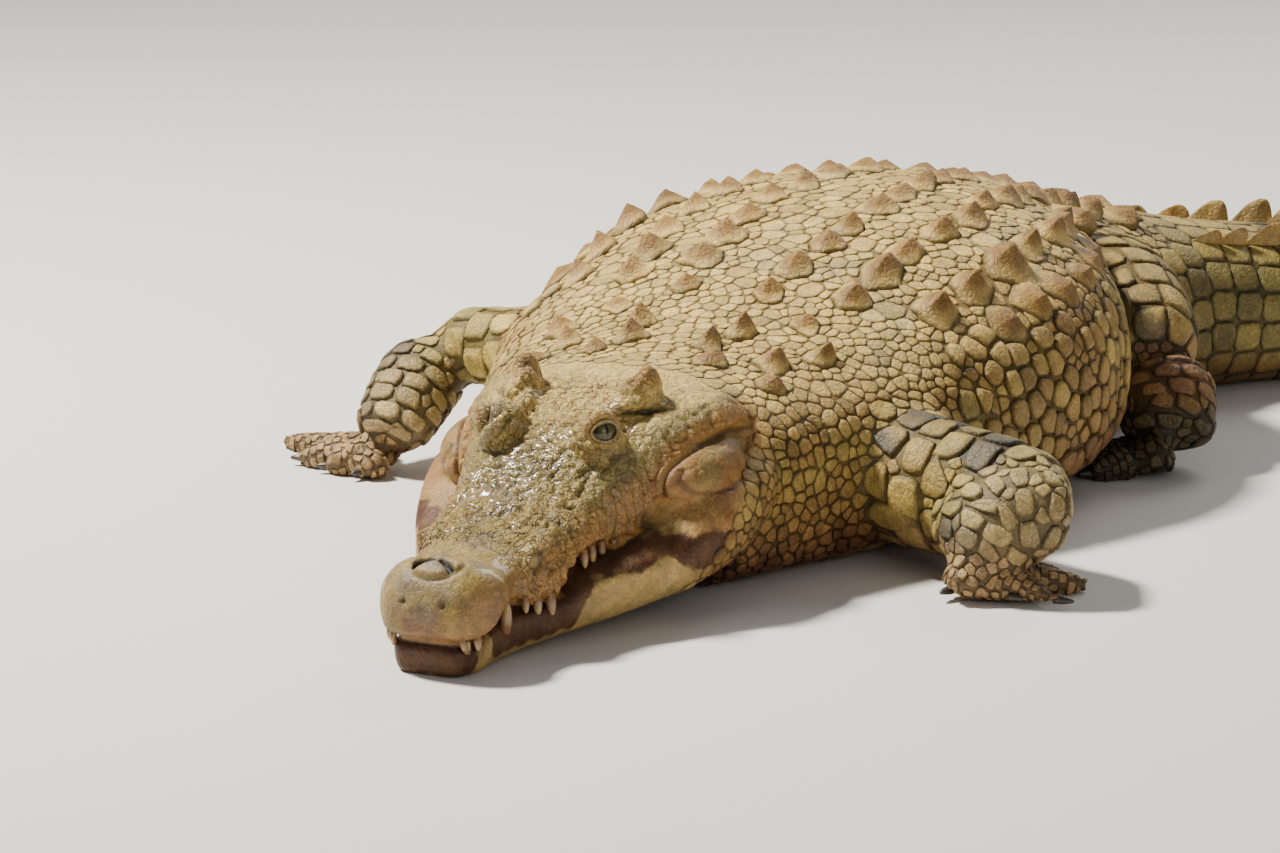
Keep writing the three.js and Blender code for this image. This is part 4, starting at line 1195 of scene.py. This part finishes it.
scale_slots = {}
for index, (name, slot) in enumerate(GROUPS):
    blocks, colours, rims, unwraps = [], [], [], []
    faces, at = [], 0
    for keeled, spokes, rings in ((False, SPOKES, RINGS), (True, KEEL_SPOKES, KEEL_RINGS)):
        own = np.flatnonzero((seed["group"].astype(int) == index) & ((seed["keel"] > 0) == keeled))
        if not len(own):
            continue
        part = {k: v[own] for k, v in seed.items()}
        radius, d, b, n = [v[own] for v in cells_by_spokes[spokes]]
        points, pattern, rim_share, local = build_scales(part, radius, d, b, n, rings)
        per = len(rim_share)
        block = points.reshape(-1, 3)
        shift = at + np.arange(len(own)) * per
        faces += [(shift[:, None, None] + piece[None]).reshape(-1, piece.shape[1]) for piece in pattern]
        colour = hide_colour(0.6 * np.repeat(part["p"], per, 0) + 0.4 * block, np.repeat(part["limb"], per))
        keel_top = np.clip(local[..., 2] / np.maximum(part["keel"], 0.012)[:, None], 0, 1) * keeled
        colour = mix(colour, KEEL_BROWN, 0.85 * smoothstep(0.25, 0.75, keel_top.ravel()))
        colours.append(colour * np.repeat(tone[own], per)[:, None])
        blocks.append(block)
        rims.append(np.tile(rim_share, len(own)))
        unwraps.append((part["uv"][:, None] + local[..., :2] * HIDE_UNWRAP).reshape(-1, 2))
        at += len(block)
    obj = make_mesh(f"scales_{name}", np.concatenate(blocks), faces)
    color_layer(obj.data, "Hide", np.concatenate(colours))
    float_layer(obj.data, "Rim", np.concatenate(rims))
    uv_layer(obj.data, np.clip(np.concatenate(unwraps), 0, 1))
    scale_slots[obj] = slot

# ---------- Tail crest ----------
CREST_FIRST, CREST_JOIN, CREST_LAST, CREST_STEP = 2.14, 3.02, 4.13, 0.060
CREST_HEIGHT = 0.058
CREST_ROOT = 0.005  # how deep a blade starts in the skin


def crest_blade(s, angle, height, lean):
    """A thin upright flap that leans back and out, as a closed solid."""
    a = np.linspace(-1, 1, 15)[:, None]
    climb = np.linspace(0, 1, 9)
    up_side = np.concatenate([climb, climb[::-1]])[None]
    side = np.concatenate([np.ones(9), -np.ones(9)])[None]
    span = CREST_STEP * (0.62 if height > 0.03 else 0.56)
    crest = 1 - np.where(a < 0.25, (0.25 - a) / 1.25, (a - 0.25) / 0.75) ** 2.1
    rise = height * crest * up_side
    thick = (0.0045 * (1 - up_side) ** 0.6 + 0.0007) * (1 - a ** 2 * 0.9)
    station = np.clip(s + span * a, 0.6, LENGTH - 0.005)
    root = body_point(station, angle, -COAT - CREST_ROOT)
    x, y, hd = [np.interp(s, spine_s, v) for v in (spine_x, spine_y, spine_heading)]
    back = np.array([math.sin(hd), math.cos(hd), 0])
    out = np.array([math.cos(hd), -math.sin(hd), 0])
    up = np.array([0, 0, 1.0]) + out * lean
    grown = rise + CREST_ROOT
    wave = 0.0015 * np.sin(7 * a + 30 * s)
    return (root + up * grown[..., None] + back * (0.42 * rise * up_side)[..., None]
            + out * (side * thick + wave * up_side)[..., None])


blades = []
for s in np.arange(CREST_FIRST, CREST_LAST, CREST_STEP):
    single = s > CREST_JOIN
    grow = min(1, 0.40 + (s - CREST_FIRST) / 0.45)
    shrink = 1 - 0.62 * (s - CREST_JOIN) / (CREST_LAST - CREST_JOIN) if single else 1
    height = CREST_HEIGHT * grow * shrink * RNG.uniform(0.88, 1.08)
    width = 0.62 * (1 - 0.78 * (s - CREST_FIRST) / (CREST_JOIN - CREST_FIRST))
    for side in ([0] if single else [1, -1]):
        shift = RNG.uniform(-0.006, 0.006) + (0.012 if side > 0 else 0)
        blades.append(loft(crest_blade(s + shift, side * width, height, 0.30 * side + 0.04)))
crest_v, crest_f = merge(blades)
crest = make_mesh("tail_crest", crest_v, crest_f)
crest_colour = layered(
    crest_v, CREAM,
    (OCHRE * 1.2, smoothstep(-0.2, 0.5, octaves(crest_v, 0.05, 95))),
    (SLATE, 0.55 * smoothstep(0.1, 0.4, octaves(crest_v, 0.07, 97))))
color_layer(crest.data, "Hide", np.clip(crest_colour, 0, 1))
float_layer(crest.data, "Rim", np.zeros(len(crest_v)))
unwrap_x = 0.02 + 0.96 * nearest_station(crest_v)[0] / LENGTH
unwrap_y = 0.90 + np.clip((crest_v[:, 2] - 0.1) * 0.3, 0, 0.1)
uv_layer(crest.data, np.stack([unwrap_x, unwrap_y], -1))
scale_slots[crest] = "tail_scales"

# ---------- Eyes and lids ----------
GAZE = unit(np.array([-0.56, 0.76, 0.32]))
EYELID_REACH = 0.050  # distance from the eye's middle up to which the skin gives way to eye and lids
SOCKET = 0.012  # radius to which the skin behind the eye's opening is drawn in
LID_LIFT = 0.0035  # height of the skin over the eyeball behind the lids
IRIS_BROWN = np.array([0.030, 0.028, 0.010])
IRIS_OLIVE = np.array([0.090, 0.078, 0.020])
IRIS_GOLD = np.array([0.17, 0.125, 0.030])
IRIS_EDGE = np.array([0.018, 0.016, 0.010])
PUPIL = np.array([0.003, 0.003, 0.003])
EYE_FLESH = np.array([0.060, 0.034, 0.020])
LID_EDGE_PALE = np.array([0.30, 0.235, 0.13])
# painted shade for the lids' inner edge and their crease
LID_EDGE_SHADE = np.array([0.030, 0.024, 0.016])


def eye_frame(side):
    """The eyeball's middle, gaze, and forward and up directions, in the head's frame."""
    centre = np.array([EYE[0], side * EYE[1], EYE[2]])
    g = unit(GAZE * np.array([1, side, 1]))
    up = unit(np.array([0.0, 0.0, 1.0]) - g * g[2])
    return centre, g, np.cross(up, g) * side, up


def around(centre, g, fore, up, angle, off, radius):
    """Points at an angular distance off from the gaze and at a turn angle about it."""
    turn = fore * np.cos(angle)[..., None] + up * np.sin(angle)[..., None]
    return centre + radius[..., None] * (g * np.cos(off)[..., None] + turn * np.sin(off)[..., None])


def eyeball(name, side):
    """A ball with a slight cornea, its iris and slit pupil coloured by the angle from the gaze."""
    centre, g, fore, up = eye_frame(side)
    off = np.linspace(0.02, math.pi - 0.02, 80)[:, None] * np.ones((1, 112))
    angle = ring_angles(112)[None] * np.ones((80, 1))
    v, f = loft(around(centre, g, fore, up, angle, off, EYE_RADIUS * (1 + 0.05 * bell(off, 0, 0.45))))
    local = unit(v - centre)
    x, y, z = local @ fore, local @ up, local @ g
    off, ray = np.arccos(np.clip(z, -1, 1)), np.arctan2(y, x)
    fibre = noise(np.stack([np.cos(ray) * 10, np.sin(ray) * 10, off * 2.5], -1), 1.0, 5)
    colour = layered(
        v, IRIS_OLIVE,
        (IRIS_BROWN, 0.5 + 0.5 * fibre),
        (IRIS_GOLD, 0.6 * bell(off, 0.26, 0.10) * (0.6 + 0.4 * fibre)),
        (IRIS_EDGE, smoothstep(0.46, 0.62, off)),
        (PUPIL, smoothstep(1.15, 0.85, np.hypot(x / 0.075, y / 0.44))),
        (EYE_FLESH, smoothstep(0.70, 0.84, off)))
    obj = make_mesh(name, head_point(v), f)
    color_layer(obj.data, "Hide", np.clip(colour, 0, 1))
    return obj


def lid_opening(side, angle):
    """Half angle of the lid opening in each direction; the right eye is nearly shut."""
    wide, top, bottom = (0.84, 0.44, 0.56) if side > 0 else (0.86, 0.020, 0.020)
    tall = np.where(np.sin(angle) > 0, top, bottom)
    return 1 / np.sqrt((np.cos(angle) / wide) ** 2 + (np.sin(angle) / tall) ** 2)


# Lid rings: angle past the opening, height over the eyeball in mm.
LID_RINGS = np.array([
    [-0.03, -1.2], [-0.01, 1.1], [0.03, 2.6], [0.09, 3.4], [0.15, 2.8], [0.19, 1.6], [0.24, 2.2],
    [0.32, 4.6], [0.44, 5.4], [0.57, 4.4], [0.72, 1.4], [0.88, -3.5],
])


def lids(name, side):
    """Both lids of an eye as one closed ring with a rim, a crease and a brow."""
    centre, g, fore, up = eye_frame(side)
    count = 128
    angle = ring_angles(count)
    t = np.linspace(0, len(LID_RINGS) - 1, 45)
    extra, over = [np.interp(t, np.arange(len(LID_RINGS)), LID_RINGS[:, c])[:, None] for c in (0, 1)]
    brow = np.clip(np.sin(angle), 0, 1)[None]
    off = np.minimum(lid_opening(side, angle)[None] + extra * (1 + 0.30 * brow), 1.9)
    height = over * (1 + 0.75 * brow * (extra > 0.25)) / 1000
    radial = np.sin(angle * 22 + 2.2 * np.sin(3 * angle)) * 0.35
    creases = radial + np.sin(extra * 60 + 2 * np.sin(angle * 2)) * 0.45
    height = height + 0.0008 * creases * smoothstep(0.06, 0.2, extra) * (1.3 if side < 0 else 1)
    outer = around(centre, g, fore, up, angle[None] * np.ones_like(off), off, EYE_RADIUS + height)
    inner = centre + (outer[::-1] - centre) * np.linspace(0.80, 0.93, len(t))[:, None, None]
    rows = np.concatenate([outer, inner])
    v = rows.reshape(-1, 3)
    i = np.arange(len(rows))[:, None] * count
    j = (np.arange(len(rows))[:, None] + 1) % len(rows) * count
    a, b = np.arange(count)[None], (np.arange(count)[None] + 1) % count
    corners = [i + a, i + b, j + b, j + a] if side > 0 else [i + a, j + a, j + b, i + b]
    obj = make_mesh(name, head_point(v), np.stack([c.ravel() for c in corners], -1))
    ring = np.concatenate([np.repeat(extra[:, 0], count), np.repeat(extra[::-1, 0], count)])
    colour = layered(
        v, head_colour(head_point(v)),
        (OCHRE * 1.1, 0.6 * bell(ring, 0.42, 0.25)),
        (LID_EDGE_PALE, 0.8 * bell(ring, 0.03, 0.03)),
        # painted shade at the lids' inner edge, where they meet the eyeball, and in their crease
        (LID_EDGE_SHADE, np.clip(bell(ring, -0.02, 0.025) + 0.8 * bell(ring, 0.20, 0.035), 0, 1)))
    color_layer(obj.data, "Hide", np.clip(colour, 0.003, 1))
    float_layer(obj.data, "Wet", np.full(len(v), 0.45))
    float_layer(obj.data, "Relief", np.full(len(v), 0.5))
    return obj


eye_objects = [eyeball("eye_left", 1), eyeball("eye_right", -1)]
lid_objects = [lids("lids_left", 1), lids("lids_right", -1)]
h = head_coords(skin_v)
for side in (1, -1):
    centre, g, fore, up = eye_frame(side)
    to = h - centre
    distance = np.linalg.norm(to, axis=1)
    direction = unit(to)
    off = np.arccos(np.clip(direction @ g, -1, 1))
    angle = np.arctan2(direction @ up, direction @ fore)
    carve = (off < lid_opening(side, angle) + 0.30) & (distance < EYELID_REACH)
    skin_v = np.where(carve[:, None], head_point(centre + direction * SOCKET), skin_v)
    # the skin never pokes through the lids
    near = (off < 1.0) & (distance < EYELID_REACH) & ~carve
    sunk = head_point(centre + direction * np.minimum(distance, EYE_RADIUS + 0.0005)[:, None])
    blend = fade(0.75, 1.0, off - lid_opening(side, angle) + 0.25)
    skin_v = np.where(near[:, None], skin_v + (sunk - skin_v) * blend[:, None], skin_v)
    # behind the lids the skin stays over the eyeball
    bare = (off > 0.95) & (distance < EYE_RADIUS + LID_LIFT) & ~carve
    lifted = head_point(centre + direction * (EYE_RADIUS + LID_LIFT))
    skin_v = np.where(bare[:, None], skin_v + (lifted - skin_v) * smoothstep(0.95, 1.1, off)[:, None], skin_v)

# ---------- Teeth and claws ----------
TOOTH_STEPS, TOOTH_SIDES = 12, 14


def cone(start, direction, bend, length, radius, flat=1.0):
    """A curved cone from start along direction, bending towards bend, in the model's frame."""
    t = np.linspace(-0.35, 1, TOOTH_STEPS)
    direction, bend = unit(np.asarray(direction, float)), np.asarray(bend, float)
    side = unit(np.cross(direction, bend))
    swerve = length * 0.22 * np.clip(t, 0, 1) ** 2
    middle = start + direction * (length * t)[:, None] + bend * swerve[:, None]
    r = radius * np.sqrt(np.clip(1 - np.clip(t, 0, 1) ** 1.5, 0, 1)) * np.where(t < 0, 0.9, 1)
    r = np.maximum(r, radius * 0.04)
    a = ring_angles(TOOTH_SIDES)[None]
    cross = unit(np.cross(side, direction))
    return middle[:, None] + (side * (r[:, None] * np.cos(a))[..., None]
                              + cross * (flat * r[:, None] * np.sin(a))[..., None])


DENTINE = np.array([0.20, 0.095, 0.035])
ENAMEL = np.array([0.44, 0.315, 0.140])
CLAW_BLACK = np.array([0.035, 0.028, 0.022])
CLAW_HORN = np.array([0.11, 0.085, 0.055])
tooth_solids = []
for u, v, z, length, radius in UPPER_TEETH + LOWER_TEETH:
    for side in (1, -1):
        base = head_point(np.array([u, side * v, z]) / 1000)
        lean = np.array([0.16 * side, -0.10, 1.0 if length > 0 else -1.0])
        bend = np.array([-0.25 * side, 0.35, 0.0])
        grown = abs(length) / 1000 * RNG.uniform(0.75, 1.0)
        tooth_solids.append(loft(cone(base, lean, bend, grown, radius / 1000)))
teeth_v, teeth_f = merge(tooth_solids)
teeth = make_mesh("teeth", teeth_v, teeth_f)
tooth_share = np.append(np.repeat(np.linspace(0, 1, TOOTH_STEPS), TOOTH_SIDES), [0, 1])
worn = np.tile(tooth_share, len(tooth_solids)) + 0.15 * noise(teeth_v, 0.006, 3)
color_layer(teeth.data, "Hide", layered(teeth_v, DENTINE, (ENAMEL, smoothstep(0.30, 0.95, worn))))

claw_solids = []
for limb in LIMBS.values():
    for _, knuckle, end in limb["digits"][:CLAWED]:
        a, b = np.array(knuckle, float) / 1000, np.array(end, float) / 1000
        way = unit(np.array([b[0] - a[0], b[1] - a[1], 0]))
        start = np.array([b[0], b[1], b[2] * 0.9]) - ORIGIN + way * -0.004
        raised, hooked = way + np.array([0, 0, 0.12]), np.array([0, 0, -0.45])
        claw_solids.append(loft(cone(start, raised, hooked, CLAW_LENGTH, CLAW_RADIUS, flat=0.8)))
claws_v, claws_f = merge(claw_solids)
claws_v[:, 2] = np.maximum(claws_v[:, 2], 0)
claws = make_mesh("claws", claws_v, claws_f)
horn = smoothstep(0, 0.6, octaves(claws_v, 0.01, 15))
color_layer(claws.data, "Hide", layered(claws_v, CLAW_BLACK, (CLAW_HORN, horn)))

# ---------- The skin as a piece ----------
# painted shade: near-black for the inside of the nostrils' and the ear's slits
SLIT_SHADE_BLACK = np.array([0.010, 0.008, 0.006])
# painted shade for the crease round the jowl's muscle
CREASE_SHADE_BROWN = np.array([0.035, 0.022, 0.012])
# painted shade for the two pits before the nose pad
PIT_SHADE_BROWN = np.array([0.03, 0.02, 0.012])
skin_v[:, 2] = np.maximum(skin_v[:, 2], GROUND)
skin = make_mesh("skin", skin_v, by_corners(skin_f))
h = head_coords(skin_v)
U, V, Z, over, ahead = head_zones(h)
found, gap = nearest(skin_v, seed["p"], 1)
limb_near = np.where(gap[:, 0] < 0.05, seed["limb"][found[:, 0]], 0)
colour = hide_colour(skin_v, limb_near)
# painted shade: the skin under the scales, seen in the gaps between them, is darkened
painted_gap_shade = fade(-0.012, 0.004, ahead)
colour = colour * (1 - 0.64 * painted_gap_shade)[:, None]
# painted shade: the creases between the head's lumps are darkened
crevice_shade = bone * fade(0.10, 0.34, lumps) * rugged
pit = bell(np.hypot(V - 0.028, Z - 0.100), 0, 0.0045) * (U < 0.04)
colour = layered(
    skin_v, colour * (1 - 0.50 * crevice_shade)[:, None],
    # painted shade: the nostrils' and the ear's slits are filled with near-black
    (SLIT_SHADE_BLACK, np.clip(slit * 2.4 + 0.9 * ear, 0, 1)),
    # painted shade in the crease round the jowl's muscle
    (CREASE_SHADE_BROWN, 0.55 * crease),
    # painted shade in the two pits before the nose pad
    (PIT_SHADE_BROWN, 0.85 * pit))
color_layer(skin.data, "Hide", np.clip(colour, 0.003, 1))
wet = smoothstep(-0.2, 0.3, octaves(h, 0.07, 99)) * fade(0.40, 0.52, U)
wet = 0.25 * (ahead > 0) + 0.75 * (wet * smoothstep(-0.01, 0.02, over))
float_layer(skin.data, "Wet", np.clip(wet * (1 - np.clip(2 * slit, 0, 1)), 0, 1))
rough = np.maximum(rugged * bone, 0.55 * bone * smoothstep(0.08, 0.14, U))
float_layer(skin.data, "Relief", np.clip(0.12 + 0.88 * rough, 0, 1))


# ---------- Materials ----------
def new_material(name):
    material = bpy.data.materials.new(name)
    material.use_nodes = True
    return material, material.node_tree, material.node_tree.nodes["Principled BSDF"]


def add(tree, kind, inputs, **settings):
    """Adds a node, sets its options, and sets or links its inputs by name or number."""
    made = tree.nodes.new(kind)
    for key, value in settings.items():
        setattr(made, key, value)
    for key, value in inputs.items():
        if isinstance(value, bpy.types.NodeSocket):
            tree.links.new(value, made.inputs[key])
        else:
            made.inputs[key].default_value = value
    return made


def spanned(tree, value, low, high, to_low, to_high):
    """A value moved from one range to another, held at its ends."""
    ranges = {"Value": value, "From Min": low, "From Max": high, "To Min": to_low, "To Max": to_high}
    return add(tree, "ShaderNodeMapRange", ranges).outputs["Result"]


def noise_node(tree, place, scale, detail, roughness=0.5):
    """A noise texture's outputs."""
    settings = {"Vector": place, "Scale": scale, "Detail": detail, "Roughness": roughness}
    return add(tree, "ShaderNodeTexNoise", settings).outputs


def attribute(tree, name, output="Fac"):
    return add(tree, "ShaderNodeAttribute", {}, attribute_name=name).outputs[output]


def scaled(tree, vector, factor):
    made = add(tree, "ShaderNodeVectorMath", {0: vector, "Scale": factor}, operation="SCALE")
    return made.outputs["Vector"]


def hide_material(name, dry, wet, on_scales, pebble, pore):
    """Hide with mottling, creases between pebbles, and pores. Its roughness goes from dry to wet, and pebble
    and pore are the depths of its relief."""
    material, tree, shader = new_material(name)
    place = add(tree, "ShaderNodeTexCoord", {}).outputs["Object"]
    mottle = noise_node(tree, place, 42.0, 6.0, 0.65)["Fac"]
    speck = noise_node(tree, place, 300.0, 4.0, 0.7)["Fac"]
    bend = {0: noise_node(tree, place, 45.0, 3.0)["Color"], 1: (0.012, 0.012, 0.012), 2: place}
    swayed = add(tree, "ShaderNodeVectorMath", bend, operation="MULTIPLY_ADD").outputs["Vector"]

    def edges_of(scale, width):
        inputs = {"Vector": swayed, "Scale": scale}
        cell = add(tree, "ShaderNodeTexVoronoi", inputs, feature="DISTANCE_TO_EDGE")
        return spanned(tree, cell.outputs["Distance"], 0.0, width, 0.0, 1.0)

    def domes(scale, power):
        return add(tree, "ShaderNodeMath", {0: edges_of(scale, 0.34), 1: power}, operation="POWER").outputs[0]

    pebbles = 95.0 if on_scales else 78.0
    crack = edges_of(pebbles, 0.09)
    dome = domes(pebbles, 0.55)
    small = domes(210.0, 0.6)
    colour = scaled(tree, attribute(tree, "Hide", "Color"), spanned(tree, mottle, 0.30, 0.70, 0.66, 1.30))
    colour = scaled(tree, colour, spanned(tree, speck, 0.35, 0.65, 0.80, 1.16))
    relief = attribute(tree, "Relief")
    crack_shade = 0.84 if on_scales else spanned(tree, relief, 0.0, 1.0, 0.92, 0.58)
    strength = 0.8 if on_scales else spanned(tree, relief, 0.0, 1.0, 0.15, 1.0)
    # painted shade: darker along the cracks and round the edges of the small pebbles
    colour = scaled(tree, colour, spanned(tree, crack, 0.0, 1.0, crack_shade, 1.0))
    colour = scaled(tree, colour, spanned(tree, small, 0.2, 0.9, 0.84, 1.05))
    if on_scales:
        # painted shade: each scale darkens towards its rim, where it sinks into the skin
        colour = scaled(tree, colour, spanned(tree, attribute(tree, "Rim"), 0.80, 1.0, 1.0, 0.40))
    tree.links.new(colour, shader.inputs["Base Color"])
    wetness = attribute(tree, "Wet")
    rough = {0: mottle, 1: 0.22, 2: spanned(tree, wetness, 0.0, 1.0, dry, wet)}
    vary = add(tree, "ShaderNodeMath", rough, operation="MULTIPLY_ADD")
    tree.links.new(vary.outputs[0], shader.inputs["Roughness"])
    tree.links.new(spanned(tree, wetness, 0.35, 1.0, 0.0, 0.6), shader.inputs["Coat Weight"])
    shader.inputs["Coat Roughness"].default_value = 0.17
    under = {}
    bumps = [(strength, pebble, dome), (strength, pebble * 0.42, small), (0.7, pore, speck)]
    for force, depth, height in bumps:
        inputs = {"Strength": force, "Distance": depth, "Height": height, **under}
        under = {"Normal": add(tree, "ShaderNodeBump", inputs).outputs["Normal"]}
    tree.links.new(under["Normal"], shader.inputs["Normal"])
    shader.inputs["Specular IOR Level"].default_value = 0.34
    return material


def plain_material(name, roughness, coat, bump, scale):
    """Eye, tooth or claw: the point colours with fine grain at a noise scale, and the depth of its bump."""
    material, tree, shader = new_material(name)
    place = add(tree, "ShaderNodeTexCoord", {}).outputs["Object"]
    grain = noise_node(tree, place, scale, 4.0)["Fac"]
    colour = scaled(tree, attribute(tree, "Hide", "Color"), spanned(tree, grain, 0.3, 0.7, 0.8, 1.15))
    tree.links.new(colour, shader.inputs["Base Color"])
    shader.inputs["Roughness"].default_value = roughness
    shader.inputs["Coat Weight"].default_value = coat
    shader.inputs["Coat Roughness"].default_value = 0.04
    relief = add(tree, "ShaderNodeBump", {"Strength": 0.5, "Distance": bump, "Height": grain})
    tree.links.new(relief.outputs["Normal"], shader.inputs["Normal"])
    return material


skin_material = hide_material("hide", dry=0.46, wet=0.22, on_scales=False, pebble=0.0026, pore=0.0008)
scale_material = hide_material("scale", dry=0.42, wet=0.30, on_scales=True, pebble=0.0012, pore=0.0006)
eye_material = plain_material("eye", roughness=0.10, coat=0.0, bump=0.00005, scale=400.0)
tooth_material = plain_material("tooth", roughness=0.30, coat=0.3, bump=0.0005, scale=300.0)
claw_material = plain_material("claw", roughness=0.40, coat=0.1, bump=0.0008, scale=260.0)

# ---------- Pieces stand for the solids ----------
# Each piece with its material and the name of a slot in the record.
finishes = [
    (skin, skin_material, "body_scales"),
    (teeth, tooth_material, "jaw_skin"),
    (claws, claw_material, "leg_scales"),
    *((obj, skin_material, "head_skin") for obj in lid_objects),
    *((obj, scale_material, slot) for obj, slot in scale_slots.items()),
    *((obj, eye_material, "eye") for obj in eye_objects),
]
for obj, material, slot in finishes:
    obj.data.materials.append(material)
    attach(obj, "root")
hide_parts(*(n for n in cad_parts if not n.startswith("eye_")))
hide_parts("eye_left")
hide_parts("eye_right")

# ---------- Floor, light and camera ----------
FLOOR_HALF = 30
corners = [(x * FLOOR_HALF, y * FLOOR_HALF, 0) for x, y in ((-1, -1), (1, -1), (1, 1), (-1, 1))]
floor = make_mesh("floor", corners, np.array([[0, 1, 2, 3]]), smooth=False)
floor_material, _, shader = new_material("floor")
shader.inputs["Base Color"].default_value = (0.74, 0.72, 0.69, 1)
shader.inputs["Roughness"].default_value = 0.9
floor.data.materials.append(floor_material)


def area_light(name, place, target, size, power, colour):
    data = bpy.data.lights.new(name, "AREA")
    data.size, data.energy, data.color = size, power, colour
    obj = bpy.data.objects.new(name, data)
    obj.location = place
    obj.rotation_mode = "QUATERNION"
    obj.rotation_quaternion = (Vector(target) - Vector(place)).to_track_quat("-Z", "Y")
    bpy.context.scene.collection.objects.link(obj)


area_light("key", (-3.3, -1.0, 5.2), (0, -0.4, 0.1), 0.8, 1010, (1.0, 0.95, 0.86))
area_light("fill", (4.5, -4.5, 2.2), (0, -0.4, 0.2), 3.5, 60, (1.0, 0.97, 0.93))
area_light("back", (0.5, 5.0, 3.8), (0.2, 0.4, 0.2), 2.5, 120, (1.0, 0.98, 0.95))
world = bpy.data.worlds.new("studio")
world.use_nodes = True
background = world.node_tree.nodes["Background"]
background.inputs["Color"].default_value = (0.88, 0.88, 0.88, 1)
background.inputs["Strength"].default_value = 0.23
bpy.context.scene.world = world

CAMERA_AZIMUTH, CAMERA_ELEVATION, CAMERA_DISTANCE = math.radians(25.3), math.radians(13), 6.5
CAMERA_LENS = 133.27
LOOK = np.array([0.013, 0.615, 0.2]) - ORIGIN
level = math.cos(CAMERA_ELEVATION)
back = np.array([math.sin(CAMERA_AZIMUTH) * level, -math.cos(CAMERA_AZIMUTH) * level,
                 math.sin(CAMERA_ELEVATION)])
camera_data = bpy.data.cameras.new("camera")
camera_data.sensor_width = 36.0
camera_data.lens = CAMERA_LENS
camera_data.clip_start, camera_data.clip_end = 0.1, 200
camera = bpy.data.objects.new("camera", camera_data)
camera.location = LOOK + back * CAMERA_DISTANCE
camera.rotation_mode = "QUATERNION"
camera.rotation_quaternion = (-Vector(back)).to_track_quat("-Z", "Y")
bpy.context.scene.collection.objects.link(camera)
bpy.context.scene.camera = camera
